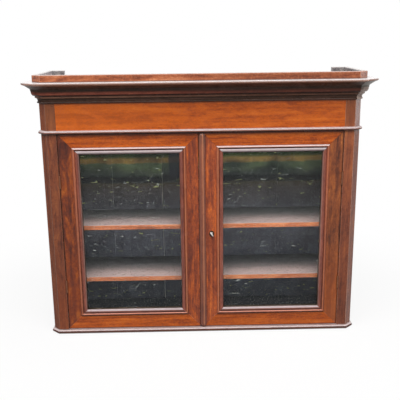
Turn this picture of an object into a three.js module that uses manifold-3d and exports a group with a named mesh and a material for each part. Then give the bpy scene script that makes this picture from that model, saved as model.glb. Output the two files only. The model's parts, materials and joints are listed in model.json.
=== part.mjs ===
// Glazed two-door bookcase with canted corners, a moulded cornice and a low top gallery.
// Millimetres, +Z up. The front faces -Y and +X is to the right as seen from the front.
// Pieces are laid out from the middle of the case front, and the whole is then moved so that
// the origin is under the middle of the box around it, at the bottom.
import * as THREE from 'three';
import { mergeVertices } from 'three/addons/utils/BufferGeometryUtils.js';
import Module from 'manifold-3d';

const wasm = await Module();
wasm.setup();

// Case
const CASE_WIDTH = 1200;
const CASE_DEPTH = 335;
const CANT = 24;
const POST_FACE = 37;
const POST_DEPTH = 40;
const STOP_LIP = 12;
const STOP_LAP = 6;
const SIDE_THICK = 18;
const BOARD_THICK = 22;
const TOP_THICK = 18;
const COVER_THICK = 18;
const BACK_THICK = 12;
const BACK_INSET = 18;
const BACK_SLIT = 1.6;
const JOINT = 0.3;
const CUT_OVERRUN = 5;

// Heights of the bands of the front, from the bottom up
const BASE_HEIGHT = 18;
const DOOR_HEIGHT = 781;
const WAIST_HEIGHT = 14;
const FRIEZE_HEIGHT = 100;
const CORNICE_HEIGHT = 77;
const GALLERY_HEIGHT = 26;

// How far the mouldings stand out
const BASE_NOSE = 9;
const BASE_STEP = 2;
const WAIST_NOSE = 9;
const baseNoseShare = 0.5;
const waistNoseShare = 0.42;
const CORNICE_NOSE = 56;
const GALLERY_SET = 38;
const GALLERY_THICK = 20;
const GALLERY_RETURN = 50;
const GALLERY_EASE = 2;

// Doors
const DOOR_THICK = 22;
const DOOR_RECESS = 5;
const DOOR_GAP = 1.5;
const DOOR_END_GAP = 2;
const MEETING_GAP = 1.5;
const MEETING_SHIFT = 2.5;
const HINGE_STILE = 77;
const MEETING_SIGHT = 83;
const TOP_RAIL = 76.5;
const BOTTOM_RAIL = 79;
const MOULD_WIDTH = 27;
const MOULD_RISE = 5;
const MOULD_LIP = 6;
const REBATE = 7;
const GLASS_THICK = 3;
const GLASS_CLEAR = 0.6;
const GLASS_DEPTH = 12;
const COVER_BEAD_WIDTH = 26;
const COVER_BEAD_RISE = 9;

// Shelves
const SHELF_THICK = 18;
const SHELF_SET = 46;
const SHELF_LOWER = 204;
const SHELF_UPPER = 418;
const SHELF_CLEAR = 0.6;
const BEARER_WIDTH = 12;
const BEARER_HEIGHT = 20;
const BEARER_INSET = 8;

// Butt hinges
const HINGE_LENGTH = 50;
const HINGE_FROM_END = 180;
const LEAF_THICK = 1.8;
const LEAF_DEPTH = 24;
const KNUCKLE_RADIUS = 3.6;
const PIN_RADIUS = 1.5;
const PIN_CLEAR = 0.2;
const PIN_INSET = 2;
const PIN_FORWARD = 0.8;

// Lock, key and escutcheon
const LOCK_HEIGHT = 390;
const KEY_SET = 47.4;
const LOCK_CASE_WIDTH = 60;
const LOCK_CASE_HEIGHT = 44;
const LOCK_CASE_DEPTH = 12;
const LOCK_BOLT_HEIGHT = 10;
const LOCK_BOLT_THICK = 5.6;
const LOCK_BOLT_LENGTH = 32;
const LOCK_BOLT_SHY = 0.4;
const LOCK_THROW = 9;
const BOLT_CLEAR = 0.3;
const ESCUTCHEON_WIDTH = 19;
const ESCUTCHEON_HEIGHT = 25;
const ESCUTCHEON_THICK = 1.2;
const KEYHOLE_SLOT = 2.6;
const KEYHOLE_DROP = 9;
const KEY_RADIUS = 3;
const KEY_CLEAR = 0.4;
const KEY_REACH = 3.5;
const KEY_COLLAR_RADIUS = 4.4;
const KEY_COLLAR_LENGTH = 2.4;
const KEY_NECK = 8;
const BOW_LENGTH = 17;
const BOW_WIDTH = 20;
const BOW_THICK = 3.4;
const BOW_RIM = 3.6;
const KEY_TILT_DEGREES = -34;

// Slide bolts of the left door
const PLATE_WIDTH = 18;
const PLATE_LENGTH = 70;
const PLATE_THICK = 2;
const PLATE_FROM_END = 13;
const BRIDGE_HEIGHT = 8;
const BRIDGE_INSET = 4;
const BRIDGE_WALL = 2.4;
const ROD_SIZE = 6;
const ROD_CLEAR = 0.3;
const ROD_SHY = 0.5;
const ROD_TAIL = 6;
const ROD_THROW = 10;
const ROD_HOLE_CLEAR = 0.8;
const ROD_HOLE_DEPTH = 12;
const KNOB_RADIUS = 4;
const KNOB_LENGTH = 9;

// Smoothness of the curves
const ARC_STEPS = 6;
const ROUND_STEPS = 20;
const DOME_STEPS = 6;

// Where the uprights of the back meet, from one inner side of the case to the other
const backJointShares = [0.1815, 0.363, 0.5635, 0.7835];
const slitJoint = 1;

// Outline of the cornice: [kind, out share, height share], each from the last point
const corniceShares = [
  ['line', 0.036, 0], ['round', 0.036, 0.102], ['line', 0.054, 0.115], ['cove', 0.196, 0.256],
  ['line', 0.214, 0.269], ['line', 0.214, 0.333], ['line', 0.232, 0.346],
  ['ovolo', 0.446, 0.564], ['line', 0.446, 0.577], ['line', 0.464, 0.589], ['line', 0.464, 0.602],
  ['line', 0.464, 0.64], ['line', 0.5, 0.69], ['line', 0.8, 0.84], ['line', 0.96, 0.888],
  ['line', 0.99, 0.905], ['line', 1, 0.922], ['line', 1, 0.976], ['line', 0.994, 0.992],
  ['line', 0.975, 1],
];

// Outline of the door moulding: [width share, rise share], from the flat to the glass
const mouldingShares = [
  [0, 0], [0.01, -0.2], [0.058, -0.2], [0.068, 0.1], [0.088, 0.42], [0.128, 0.72],
  [0.18, 0.92], [0.245, 1], [0.31, 0.93], [0.355, 0.72], [0.38, 0.42], [0.39, 0.1],
  [0.4, -0.12], [0.45, -0.12], [0.46, 0.1], [0.485, 0.42], [0.53, 0.7], [0.6, 0.91],
  [0.68, 1], [0.765, 0.95], [0.85, 0.74], [0.92, 0.4], [0.97, -0.05], [1, -0.6],
];

const LEFT = -1;
const RIGHT = 1;
const sideName = { [LEFT]: 'left', [RIGHT]: 'right' };

// Places worked out from the sizes
const halfWidth = CASE_WIDTH / 2;
const postInner = halfWidth - CANT - POST_FACE;
const lipInner = postInner - STOP_LIP;
const sideInner = halfWidth - SIDE_THICK;
const doorFront = DOOR_RECESS;
const doorBack = DOOR_RECESS + DOOR_THICK;
const stopFront = doorBack + JOINT;
const backBack = CASE_DEPTH - BACK_INSET;
const backFront = backBack - BACK_THICK;
const boardBack = backFront - JOINT;

const doorBottom = BASE_HEIGHT + DOOR_END_GAP;
const doorTop = doorBottom + DOOR_HEIGHT;
const waistBottom = doorTop + DOOR_END_GAP;
const waistTop = waistBottom + WAIST_HEIGHT;
const corniceBottom = waistTop + FRIEZE_HEIGHT;
const corniceTop = corniceBottom + CORNICE_HEIGHT;
const coverBottom = corniceTop - COVER_THICK;
const bottomBoardTop = doorBottom + STOP_LAP;
const topBoardBottom = doorTop - STOP_LAP;
const topBoardTop = topBoardBottom + TOP_THICK;

const doorOuter = postInner - DOOR_GAP;
const meetingLine = MEETING_SHIFT - COVER_BEAD_WIDTH / 2;
const meetingEdge = {
  [LEFT]: meetingLine - MEETING_GAP / 2,
  [RIGHT]: meetingLine + MEETING_GAP / 2,
};
const sightOuter = doorOuter - HINGE_STILE;
const sightBottom = doorBottom + BOTTOM_RAIL;
const sightTop = doorTop - TOP_RAIL;
const glassFront = doorFront + GLASS_DEPTH;
const glassBack = glassFront + GLASS_THICK;

const hingeX = doorOuter - PIN_INSET + DOOR_GAP;
const hingeHeights = {
  lower: doorBottom + HINGE_FROM_END,
  upper: doorTop - HINGE_FROM_END,
};
const knuckleLength = HINGE_LENGTH / 3;

const lockZ = doorBottom + LOCK_HEIGHT;
const keyX = meetingEdge[RIGHT] + KEY_SET;
const lockFront = doorBack - LOCK_CASE_DEPTH;
const boltMiddle = lockFront + LOCK_CASE_DEPTH / 2;
const keyHoleRadius = KEY_RADIUS + KEY_CLEAR;

const rodX = (meetingEdge[LEFT] - (MEETING_SIGHT - REBATE)) / 2;
const plateFront = doorBack + JOINT;
const plateBack = plateFront + PLATE_THICK;
const rodFront = plateBack + ROD_CLEAR;
const rodBack = rodFront + ROD_SIZE;

// Solids

function closedGeometry(points, faces) {
  let volume = 0;
  const a = new THREE.Vector3();
  const b = new THREE.Vector3();
  const c = new THREE.Vector3();
  for (const [i, j, k] of faces) {
    a.fromArray(points[i]);
    b.fromArray(points[j]);
    c.fromArray(points[k]);
    volume += a.dot(b.cross(c));
  }
  const index = [];
  for (const [i, j, k] of faces) {
    if (volume > 0) index.push(i, j, k);
    else index.push(i, k, j);
  }
  const geometry = new THREE.BufferGeometry();
  geometry.setAttribute('position', new THREE.Float32BufferAttribute(points.flat(), 3));
  geometry.setIndex(index);
  return geometry;
}

function merged(geometry) {
  const bare = geometry.clone();
  bare.deleteAttribute('normal');
  bare.deleteAttribute('uv');
  return mergeVertices(bare);
}

function solid(geometry) {
  const bare = merged(geometry);
  const mesh = new wasm.Mesh({
    numProp: 3,
    vertProperties: new Float32Array(bare.attributes.position.array),
    triVerts: new Uint32Array(bare.index.array),
  });
  return new wasm.Manifold(mesh);
}

function geometryOf(body) {
  const mesh = body.getMesh();
  const geometry = new THREE.BufferGeometry();
  geometry.setAttribute('position', new THREE.BufferAttribute(mesh.vertProperties, 3));
  geometry.setIndex(new THREE.BufferAttribute(mesh.triVerts, 1));
  return geometry;
}

function cut(base, ...tools) {
  let body = solid(base);
  for (const tool of tools) body = body.subtract(solid(tool));
  return geometryOf(body);
}

function join(base, ...others) {
  let body = solid(base);
  for (const other of others) body = body.add(solid(other));
  return geometryOf(body);
}

function common(base, tool) {
  return geometryOf(solid(base).intersect(solid(tool)));
}

// A flat outline pushed from low to high along one axis: 'z' takes [x, y] points,
// 'y' takes [x, z] points and 'x' takes [y, z] points.
const PLACE = {
  z: (u, v, t) => [u, v, t],
  y: (u, v, t) => [u, t, v],
  x: (u, v, t) => [t, u, v],
};

function prism(axis, outline, low, high, hole = null) {
  const contour = outline.map(([u, v]) => new THREE.Vector2(u, v));
  if (THREE.ShapeUtils.isClockWise(contour)) contour.reverse();
  const shape = new THREE.Shape(contour);
  if (hole) shape.holes.push(new THREE.Path(hole.map(([u, v]) => new THREE.Vector2(u, v))));
  const raw = new THREE.ExtrudeGeometry(shape, { depth: high - low, bevelEnabled: false });
  const bare = merged(raw);
  const points = [];
  const position = bare.attributes.position;
  for (let i = 0; i < position.count; i += 1) {
    const end = position.getZ(i) > 0 ? high : low;
    points.push(PLACE[axis](position.getX(i), position.getY(i), end));
  }
  const faces = [];
  for (let i = 0; i < bare.index.count; i += 3) {
    faces.push([bare.index.getX(i), bare.index.getX(i + 1), bare.index.getX(i + 2)]);
  }
  return closedGeometry(points, faces);
}

function rectangle(u0, u1, v0, v1) {
  return [[u0, v0], [u1, v0], [u1, v1], [u0, v1]];
}

function block(x0, x1, y0, y1, z0, z1) {
  return prism('z', rectangle(Math.min(x0, x1), Math.max(x0, x1), y0, y1), z0, z1);
}

function ellipse(u, v, radiusU, radiusV, steps = ROUND_STEPS) {
  const points = [];
  for (let i = 0; i < steps; i += 1) {
    const turn = (2 * Math.PI * i) / steps;
    points.push([u + radiusU * Math.cos(turn), v + radiusV * Math.sin(turn)]);
  }
  return points;
}

// Outline of a moulding from its table of shares, ending at its last point
function mouldingOutline(table, start, out, height, bottom) {
  const points = [[start, bottom]];
  let at = [0, 0];
  for (const [kind, outShare, heightShare] of table) {
    const next = [outShare * out, heightShare * height];
    const dx = next[0] - at[0];
    const dz = next[1] - at[1];
    for (let i = 1; i <= ARC_STEPS && kind !== 'line'; i += 1) {
      const turn = (Math.PI / 2) * (i / ARC_STEPS);
      if (i === ARC_STEPS) break;
      if (kind === 'cove') {
        points.push([at[0] + dx * (1 - Math.cos(turn)), bottom + at[1] + dz * Math.sin(turn)]);
      } else if (kind === 'ovolo') {
        points.push([at[0] + dx * Math.sin(turn), bottom + at[1] + dz * (1 - Math.cos(turn))]);
      } else {
        const half = dz / 2;
        points.push([
          at[0] + half * Math.sin(turn * 2),
          bottom + at[1] + half * (1 - Math.cos(turn * 2)),
        ]);
      }
    }
    points.push([next[0], bottom + next[1]]);
    at = next;
  }
  points.push([start, bottom + at[1]]);
  return points;
}

// Rounded nose between two heights, on a straight back; its tip is at a share of the height
function noseOutline(back, start, nose, bottom, top, tipShare) {
  const points = [[back, bottom]];
  if (start > back) points.push([start, bottom]);
  const tip = bottom + (top - bottom) * tipShare;
  for (let i = 1; i < 2 * ARC_STEPS; i += 1) {
    const turn = (Math.PI * i) / (2 * ARC_STEPS);
    const reach = (nose - start) * Math.sin(turn);
    const drop = i < ARC_STEPS ? tip - bottom : top - tip;
    points.push([start + reach, tip - drop * Math.cos(turn)]);
  }
  if (start > back) points.push([start, top]);
  return points;
}

// The line around the case at a given distance outside it, from back left to back right
const cantTangent = Math.tan(Math.PI / 8);
function caseLine(out) {
  const side = halfWidth + out;
  const front = halfWidth - CANT + out * cantTangent;
  const tip = CANT - out * cantTangent;
  return [
    [-side, CASE_DEPTH], [-side, tip], [-front, -out],
    [front, -out], [side, tip], [side, CASE_DEPTH],
  ];
}

// A moulding run along a path, mitred at its corners and towards its neighbours
function run(outline, path, before = null, after = null) {
  const points = [];
  const faces = [];
  const count = outline.length;
  const all = [before, ...path, after];
  const direction = (from, to) => {
    const length = Math.hypot(to[0] - from[0], to[1] - from[1]);
    return [(to[0] - from[0]) / length, (to[1] - from[1]) / length];
  };
  path.forEach((corner, i) => {
    const previous = all[i];
    const following = all[i + 2];
    const inward = previous ? direction(previous, corner) : direction(corner, following);
    const onward = following ? direction(corner, following) : inward;
    const m = [inward[1] + onward[1], -inward[0] - onward[0]];
    const scale = 1 / (1 + inward[0] * onward[0] + inward[1] * onward[1]);
    let shift = [0, 0];
    if (i === 0 && before) shift = [onward[0] * JOINT / 2, onward[1] * JOINT / 2];
    if (i === path.length - 1 && after) shift = [-inward[0] * JOINT / 2, -inward[1] * JOINT / 2];
    for (const [out, z] of outline) {
      points.push([
        corner[0] + shift[0] + out * m[0] * scale,
        corner[1] + shift[1] + out * m[1] * scale,
        z,
      ]);
    }
  });
  for (let i = 0; i + 1 < path.length; i += 1) {
    for (let j = 0; j < count; j += 1) {
      const a = i * count + j;
      const b = i * count + ((j + 1) % count);
      faces.push([a, b, b + count], [a, b + count, a + count]);
    }
  }
  const flat = outline.map(([u, v]) => new THREE.Vector2(u, v));
  const last = (path.length - 1) * count;
  for (const [a, b, c] of THREE.ShapeUtils.triangulateShape(flat, [])) {
    faces.push([c, b, a], [last + a, last + b, last + c]);
  }
  // The caps follow the winding of the walls
  const wall = closedWinding(outline);
  const turned = wall ? faces : faces.map((face, i) => (
    i < 2 * count * (path.length - 1) ? face : [face[0], face[2], face[1]]
  ));
  return closedGeometry(points, turned);
}

function closedWinding(outline) {
  return THREE.ShapeUtils.area(outline.map(([u, v]) => new THREE.Vector2(u, v))) > 0;
}

// Scene

const bookcase = new THREE.Group();
bookcase.position.y = -(CASE_DEPTH - CORNICE_NOSE) / 2;
const part = new THREE.Group();
part.add(bookcase);

const looks = {
  mahogany: { color: 0x9a4a1e, roughness: 0.32, metalness: 0 },
  mahogany_dark: { color: 0x6b3320, roughness: 0.34, metalness: 0 },
  mahogany_shelf: { color: 0x6e4630, roughness: 0.5, metalness: 0 },
  back_wood: { color: 0x3a241a, roughness: 0.8, metalness: 0 },
  glass: { color: 0x8f9a98, roughness: 0.03, metalness: 0, opacity: 0.25, transparent: true },
  brass: { color: 0x6f5528, roughness: 0.45, metalness: 1 },
  steel: { color: 0xb9bcbd, roughness: 0.25, metalness: 1 },
};

function add(name, geometry, look) {
  const flat = geometry.index ? geometry.toNonIndexed() : geometry;
  flat.computeVertexNormals();
  const mesh = new THREE.Mesh(flat, new THREE.MeshStandardMaterial(looks[look]));
  mesh.name = name;
  bookcase.add(mesh);
  return mesh;
}

// Base, waist bead, cornice and gallery run round the canted corners

const line = caseLine(0);
const galleryLine = caseLine(CORNICE_NOSE - GALLERY_SET);
const halves = {
  front: (points) => [points.slice(1, 5), points[0], points[5]],
  left: (points) => [points.slice(0, 2), null, points[2]],
  right: (points) => [points.slice(4, 6), points[3], null],
};

function addRuns(label, outlines, points, look) {
  for (const [side, pick] of Object.entries(halves)) {
    const [path, before, after] = pick(points);
    add(`${label}_${side}`, run(outlines[side] || outlines.front, path, before, after), look);
  }
}

const baseNoseTop = BASE_HEIGHT - BASE_STEP;
const baseOutline = (back) => [
  ...noseOutline(-back, 0, BASE_NOSE, 0, baseNoseTop, baseNoseShare),
  [0, BASE_HEIGHT],
  [-back, BASE_HEIGHT],
];
const baseFront = baseOutline(doorBack);
const baseSide = baseOutline(SIDE_THICK);
addRuns('base', { front: baseFront, left: baseSide, right: baseSide }, line, 'mahogany');

const waist = noseOutline(JOINT, JOINT, WAIST_NOSE, waistBottom, waistTop, waistNoseShare);
waist.push([JOINT, waistTop]);
addRuns('waist_bead', { front: waist }, line, 'mahogany');

const cornice = mouldingOutline(corniceShares, JOINT, CORNICE_NOSE, CORNICE_HEIGHT, corniceBottom);
addRuns('cornice', { front: cornice }, line, 'mahogany');

const galleryBottom = corniceTop + JOINT;
const galleryTop = corniceTop + GALLERY_HEIGHT;
const gallery = [
  [-GALLERY_THICK, galleryBottom], [0, galleryBottom], [0, galleryTop - GALLERY_EASE],
  [-GALLERY_EASE, galleryTop], [GALLERY_EASE - GALLERY_THICK, galleryTop],
  [-GALLERY_THICK, galleryTop - GALLERY_EASE],
];
{
  const [backLeft, leftTip, frontLeft, frontRight, rightTip, backRight] = galleryLine;
  const reach = GALLERY_THICK + GALLERY_RETURN;
  const leftEnd = [backLeft[0] + reach, backLeft[1]];
  const rightEnd = [backRight[0] - reach, backRight[1]];
  const front = run(gallery, [leftTip, frontLeft, frontRight, rightTip], backLeft, backRight);
  add('gallery_front', front, 'mahogany');
  add('gallery_left', run(gallery, [leftEnd, backLeft, leftTip], null, frontLeft), 'mahogany');
  add('gallery_right', run(gallery, [rightTip, backRight, rightEnd], frontRight, null), 'mahogany');
}

// Case boards

const coverOutline = caseLine(0);
add('cover_board', prism('z', coverOutline, coverBottom, corniceTop), 'mahogany_dark');

const friezeReach = postInner - JOINT;
const frieze = block(-friezeReach, friezeReach, 0, doorBack, waistBottom, coverBottom - JOINT);
add('frieze_board', frieze, 'mahogany');

function notchedBoard() {
  const lip = lipInner - JOINT;
  const inner = sideInner - JOINT;
  const shoulder = POST_DEPTH + JOINT;
  return [
    [-lip, stopFront], [lip, stopFront], [lip, shoulder], [inner, shoulder],
    [inner, boardBack], [-inner, boardBack], [-inner, shoulder], [-lip, shoulder],
  ];
}

function rodHole(low, high) {
  const reach = ROD_SIZE / 2 + ROD_HOLE_CLEAR;
  const front = rodFront - ROD_HOLE_CLEAR;
  const back = rodBack + ROD_HOLE_CLEAR;
  return block(rodX - reach, rodX + reach, front, back, low, high);
}

const bottomBoard = prism('z', notchedBoard(), bottomBoardTop - BOARD_THICK, bottomBoardTop);
const bottomHole = rodHole(bottomBoardTop - ROD_HOLE_DEPTH, bottomBoardTop + CUT_OVERRUN);
add('bottom_board', cut(bottomBoard, bottomHole), 'mahogany_shelf');

const topBoard = prism('z', notchedBoard(), topBoardBottom, topBoardTop);
const topHole = rodHole(topBoardBottom - CUT_OVERRUN, topBoardBottom + ROD_HOLE_DEPTH);
add('top_board', cut(topBoard, topHole), 'mahogany_shelf');

const caseFoot = BASE_HEIGHT + JOINT;
const caseHead = coverBottom - JOINT;

for (const side of [LEFT, RIGHT]) {
  const name = sideName[side];
  const outline = [
    [halfWidth, CANT], [halfWidth - CANT, 0], [postInner, 0], [postInner, stopFront],
    [lipInner, stopFront], [lipInner, POST_DEPTH], [halfWidth, POST_DEPTH],
  ].map(([x, y]) => [side * x, y]);
  const pockets = Object.values(hingeHeights).map((z) => block(
    side * (postInner - CUT_OVERRUN),
    side * (postInner + LEAF_THICK + JOINT),
    -CUT_OVERRUN,
    LEAF_DEPTH + JOINT,
    z - HINGE_LENGTH / 2 - JOINT,
    z + HINGE_LENGTH / 2 + JOINT,
  ));
  const post = cut(prism('z', outline, caseFoot, caseHead), ...pockets);
  add(`corner_post_${name}`, post, 'mahogany_dark');

  const board = block(
    side * sideInner, side * halfWidth, POST_DEPTH + JOINT, CASE_DEPTH, caseFoot, caseHead,
  );
  add(`case_side_${name}`, board, 'mahogany_dark');
}

// Upright back boards between the sides

const backReach = sideInner - JOINT;
const backEdges = [0, ...backJointShares, 1].map((share) => (2 * share - 1) * backReach);
for (let i = 0; i + 1 < backEdges.length; i += 1) {
  const before = i === slitJoint + 1 ? BACK_SLIT / 2 : JOINT / 2;
  const after = i === slitJoint ? BACK_SLIT / 2 : JOINT / 2;
  const x0 = i === 0 ? backEdges[i] : backEdges[i] + before;
  const x1 = i + 2 === backEdges.length ? backEdges[i + 1] : backEdges[i + 1] - after;
  const low = bottomBoardTop - BOARD_THICK;
  add(`back_board_${i + 1}`, block(x0, x1, backFront, backBack, low, caseHead), 'back_wood');
}

// Shelves on bearers

const shelves = { lower: SHELF_LOWER, upper: SHELF_UPPER };
for (const [level, z] of Object.entries(shelves)) {
  const reach = sideInner - SHELF_CLEAR;
  const board = block(-reach, reach, SHELF_SET, boardBack - SHELF_CLEAR, z, z + SHELF_THICK);
  add(`shelf_${level}`, board, 'mahogany_shelf');
  for (const side of [LEFT, RIGHT]) {
    const outer = side * (sideInner - JOINT);
    const inner = side * (sideInner - JOINT - BEARER_WIDTH);
    const bearer = block(
      outer, inner, SHELF_SET + BEARER_INSET, boardBack - BEARER_INSET,
      z - JOINT - BEARER_HEIGHT, z - JOINT,
    );
    add(`shelf_bearer_${level}_${sideName[side]}`, bearer, 'mahogany_shelf');
  }
}

// Doors

// Section of a door member: across from its outer edge to the sight edge, front to back
function memberSection(width) {
  const flat = width - MOULD_WIDTH;
  const points = [[0, doorBack], [0, doorFront]];
  for (const [widthShare, riseShare] of mouldingShares) {
    points.push([flat + widthShare * MOULD_WIDTH, doorFront - riseShare * MOULD_RISE]);
  }
  points.push([width, doorFront + MOULD_LIP]);
  points.push([width, glassFront - JOINT]);
  points.push([width - REBATE, glassFront - JOINT]);
  points.push([width - REBATE, doorBack]);
  return points;
}

// Front outline that trims a member at its two mitres, in across and along places
function memberTrim(width, low, lowCross, high, highCross) {
  const gap = JOINT / Math.SQRT2;
  const start = (across) => Math.max(low, low + lowCross - width + across + gap);
  const end = (across) => Math.min(high, high - highCross + width - across - gap);
  const over = width + CUT_OVERRUN;
  const lowBreak = Math.max(-CUT_OVERRUN, width - lowCross - gap);
  const highBreak = Math.max(-CUT_OVERRUN, width - highCross - gap);
  const points = [[-CUT_OVERRUN, start(-CUT_OVERRUN)]];
  if (lowBreak > -CUT_OVERRUN) points.push([lowBreak, start(lowBreak)]);
  points.push([over, start(over)], [over, end(over)]);
  if (highBreak > -CUT_OVERRUN) points.push([highBreak, end(highBreak)]);
  points.push([-CUT_OVERRUN, end(-CUT_OVERRUN)]);
  return points;
}

function memberGeometry(width, low, lowCross, high, highCross, place) {
  const section = memberSection(width);
  const trim = memberTrim(width, low, lowCross, high, highCross);
  const span = [low - CUT_OVERRUN, high + CUT_OVERRUN];
  const body = place === 'stile'
    ? prism('z', section, ...span)
    : prism('x', section.map(([across, y]) => [y, across]), ...span);
  const cutter = place === 'stile'
    ? prism('y', trim, -CUT_OVERRUN - MOULD_RISE, doorBack + CUT_OVERRUN)
    : prism('y', trim.map(([across, along]) => [along, across]),
      -CUT_OVERRUN - MOULD_RISE, doorBack + CUT_OVERRUN);
  return common(body, cutter);
}

// Moves a member from its own edge to the door, turned over where its edge is on the far side
function placed(geometry, axis, edge, sign) {
  const bare = merged(geometry);
  const position = bare.attributes.position;
  const points = [];
  for (let i = 0; i < position.count; i += 1) {
    const point = [position.getX(i), position.getY(i), position.getZ(i)];
    point[axis] = edge + sign * point[axis];
    points.push(point);
  }
  const faces = [];
  for (let i = 0; i < bare.index.count; i += 3) {
    faces.push([bare.index.getX(i), bare.index.getX(i + 1), bare.index.getX(i + 2)]);
  }
  return closedGeometry(points, faces);
}

const X_AXIS = 0;
const Z_AXIS = 2;

function keyholeOutline(radius) {
  const points = [];
  const slot = KEYHOLE_SLOT / 2;
  const open = Math.asin(slot / radius);
  const steps = ROUND_STEPS;
  for (let i = 0; i <= steps; i += 1) {
    const turn = -Math.PI / 2 + open + ((2 * Math.PI - 2 * open) * i) / steps;
    points.push([keyX + radius * Math.cos(turn), lockZ + radius * Math.sin(turn)]);
  }
  points.push([keyX - slot, lockZ - KEYHOLE_DROP], [keyX + slot, lockZ - KEYHOLE_DROP]);
  return points;
}

for (const side of [LEFT, RIGHT]) {
  const name = `${sideName[side]}_door`;
  const hingeEdge = side * doorOuter;
  const meetEdge = meetingEdge[side];
  const sightMeet = side * MEETING_SIGHT;
  const meetWidth = Math.abs(sightMeet - meetEdge);
  const inward = -side;
  const lowX = Math.min(hingeEdge, meetEdge);
  const highX = Math.max(hingeEdge, meetEdge);
  const lowWidth = side === LEFT ? HINGE_STILE : meetWidth;
  const highWidth = side === LEFT ? meetWidth : HINGE_STILE;

  const stile = (width) => memberGeometry(
    width, doorBottom, BOTTOM_RAIL, doorTop, TOP_RAIL, 'stile',
  );
  const rail = (width) => memberGeometry(width, lowX, lowWidth, highX, highWidth, 'rail');

  let hingeStile = placed(stile(HINGE_STILE), X_AXIS, hingeEdge, inward);
  const leafPockets = Object.values(hingeHeights).map((z) => block(
    side * (doorOuter + CUT_OVERRUN),
    side * (doorOuter - LEAF_THICK - JOINT),
    doorFront - CUT_OVERRUN,
    LEAF_DEPTH + JOINT,
    z - HINGE_LENGTH / 2 - JOINT,
    z + HINGE_LENGTH / 2 + JOINT,
  ));
  hingeStile = cut(hingeStile, ...leafPockets);
  add(`${name}_hinge_stile`, hingeStile, 'mahogany_dark');

  let meetingStile = placed(stile(meetWidth), X_AXIS, meetEdge, side);
  if (side === RIGHT) {
    const pocket = block(
      meetEdge - CUT_OVERRUN, meetEdge + LOCK_CASE_WIDTH + JOINT,
      lockFront - JOINT, doorBack + CUT_OVERRUN,
      lockZ - LOCK_CASE_HEIGHT / 2 - JOINT, lockZ + LOCK_CASE_HEIGHT / 2 + JOINT,
    );
    const hole = prism('y', keyholeOutline(keyHoleRadius), -CUT_OVERRUN, lockFront);
    meetingStile = cut(meetingStile, pocket, hole);
  } else {
    const reach = LOCK_BOLT_HEIGHT / 2 + BOLT_CLEAR + JOINT;
    const half = LOCK_BOLT_THICK / 2 + BOLT_CLEAR + JOINT;
    const mortise = block(
      meetEdge + CUT_OVERRUN, meetEdge - LOCK_THROW,
      boltMiddle - half, boltMiddle + half, lockZ - reach, lockZ + reach,
    );
    meetingStile = cut(meetingStile, mortise);
  }
  add(`${name}_meeting_stile`, meetingStile, 'mahogany_dark');
  add(`${name}_top_rail`, placed(rail(TOP_RAIL), Z_AXIS, doorTop, -1), 'mahogany');
  add(`${name}_bottom_rail`, placed(rail(BOTTOM_RAIL), Z_AXIS, doorBottom, 1), 'mahogany');

  const sightLow = Math.min(side * sightOuter, sightMeet);
  const sightHigh = Math.max(side * sightOuter, sightMeet);
  const grow = REBATE - GLASS_CLEAR;
  const pane = block(
    sightLow - grow, sightHigh + grow, glassFront, glassBack, sightBottom - grow, sightTop + grow,
  );
  add(`${name}_glass`, pane, 'glass');
  const beadReach = REBATE - JOINT;
  const bead = prism(
    'y',
    rectangle(
      sightLow - beadReach, sightHigh + beadReach, sightBottom - beadReach, sightTop + beadReach,
    ),
    glassBack + JOINT,
    doorBack,
    rectangle(sightLow, sightHigh, sightBottom, sightTop),
  );
  add(`${name}_glazing_bead`, bead, 'mahogany_shelf');
}

// Half round cover bead with domed ends on the meeting edge of the right door

{
  const radius = COVER_BEAD_WIDTH / 2;
  const middle = meetingEdge[RIGHT] + radius;
  const length = DOOR_HEIGHT - 2 * radius;
  const capsule = new THREE.CapsuleGeometry(radius, length, DOME_STEPS, ROUND_STEPS);
  capsule.rotateX(Math.PI / 2);
  capsule.scale(1, COVER_BEAD_RISE / radius, 1);
  capsule.translate(middle, doorFront - JOINT, doorBottom + DOOR_HEIGHT / 2);
  const front = block(
    middle - COVER_BEAD_WIDTH, middle + COVER_BEAD_WIDTH,
    doorFront - JOINT - COVER_BEAD_WIDTH, doorFront - JOINT, doorBottom, doorTop,
  );
  add('right_door_cover_bead', common(capsule, front), 'mahogany');
}

// Butt hinges: the leaf on the post carries the end knuckles and the pin

function knuckle(x, low, high, radius) {
  return prism('z', ellipse(x, PIN_FORWARD, radius, radius), low, high);
}

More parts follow.
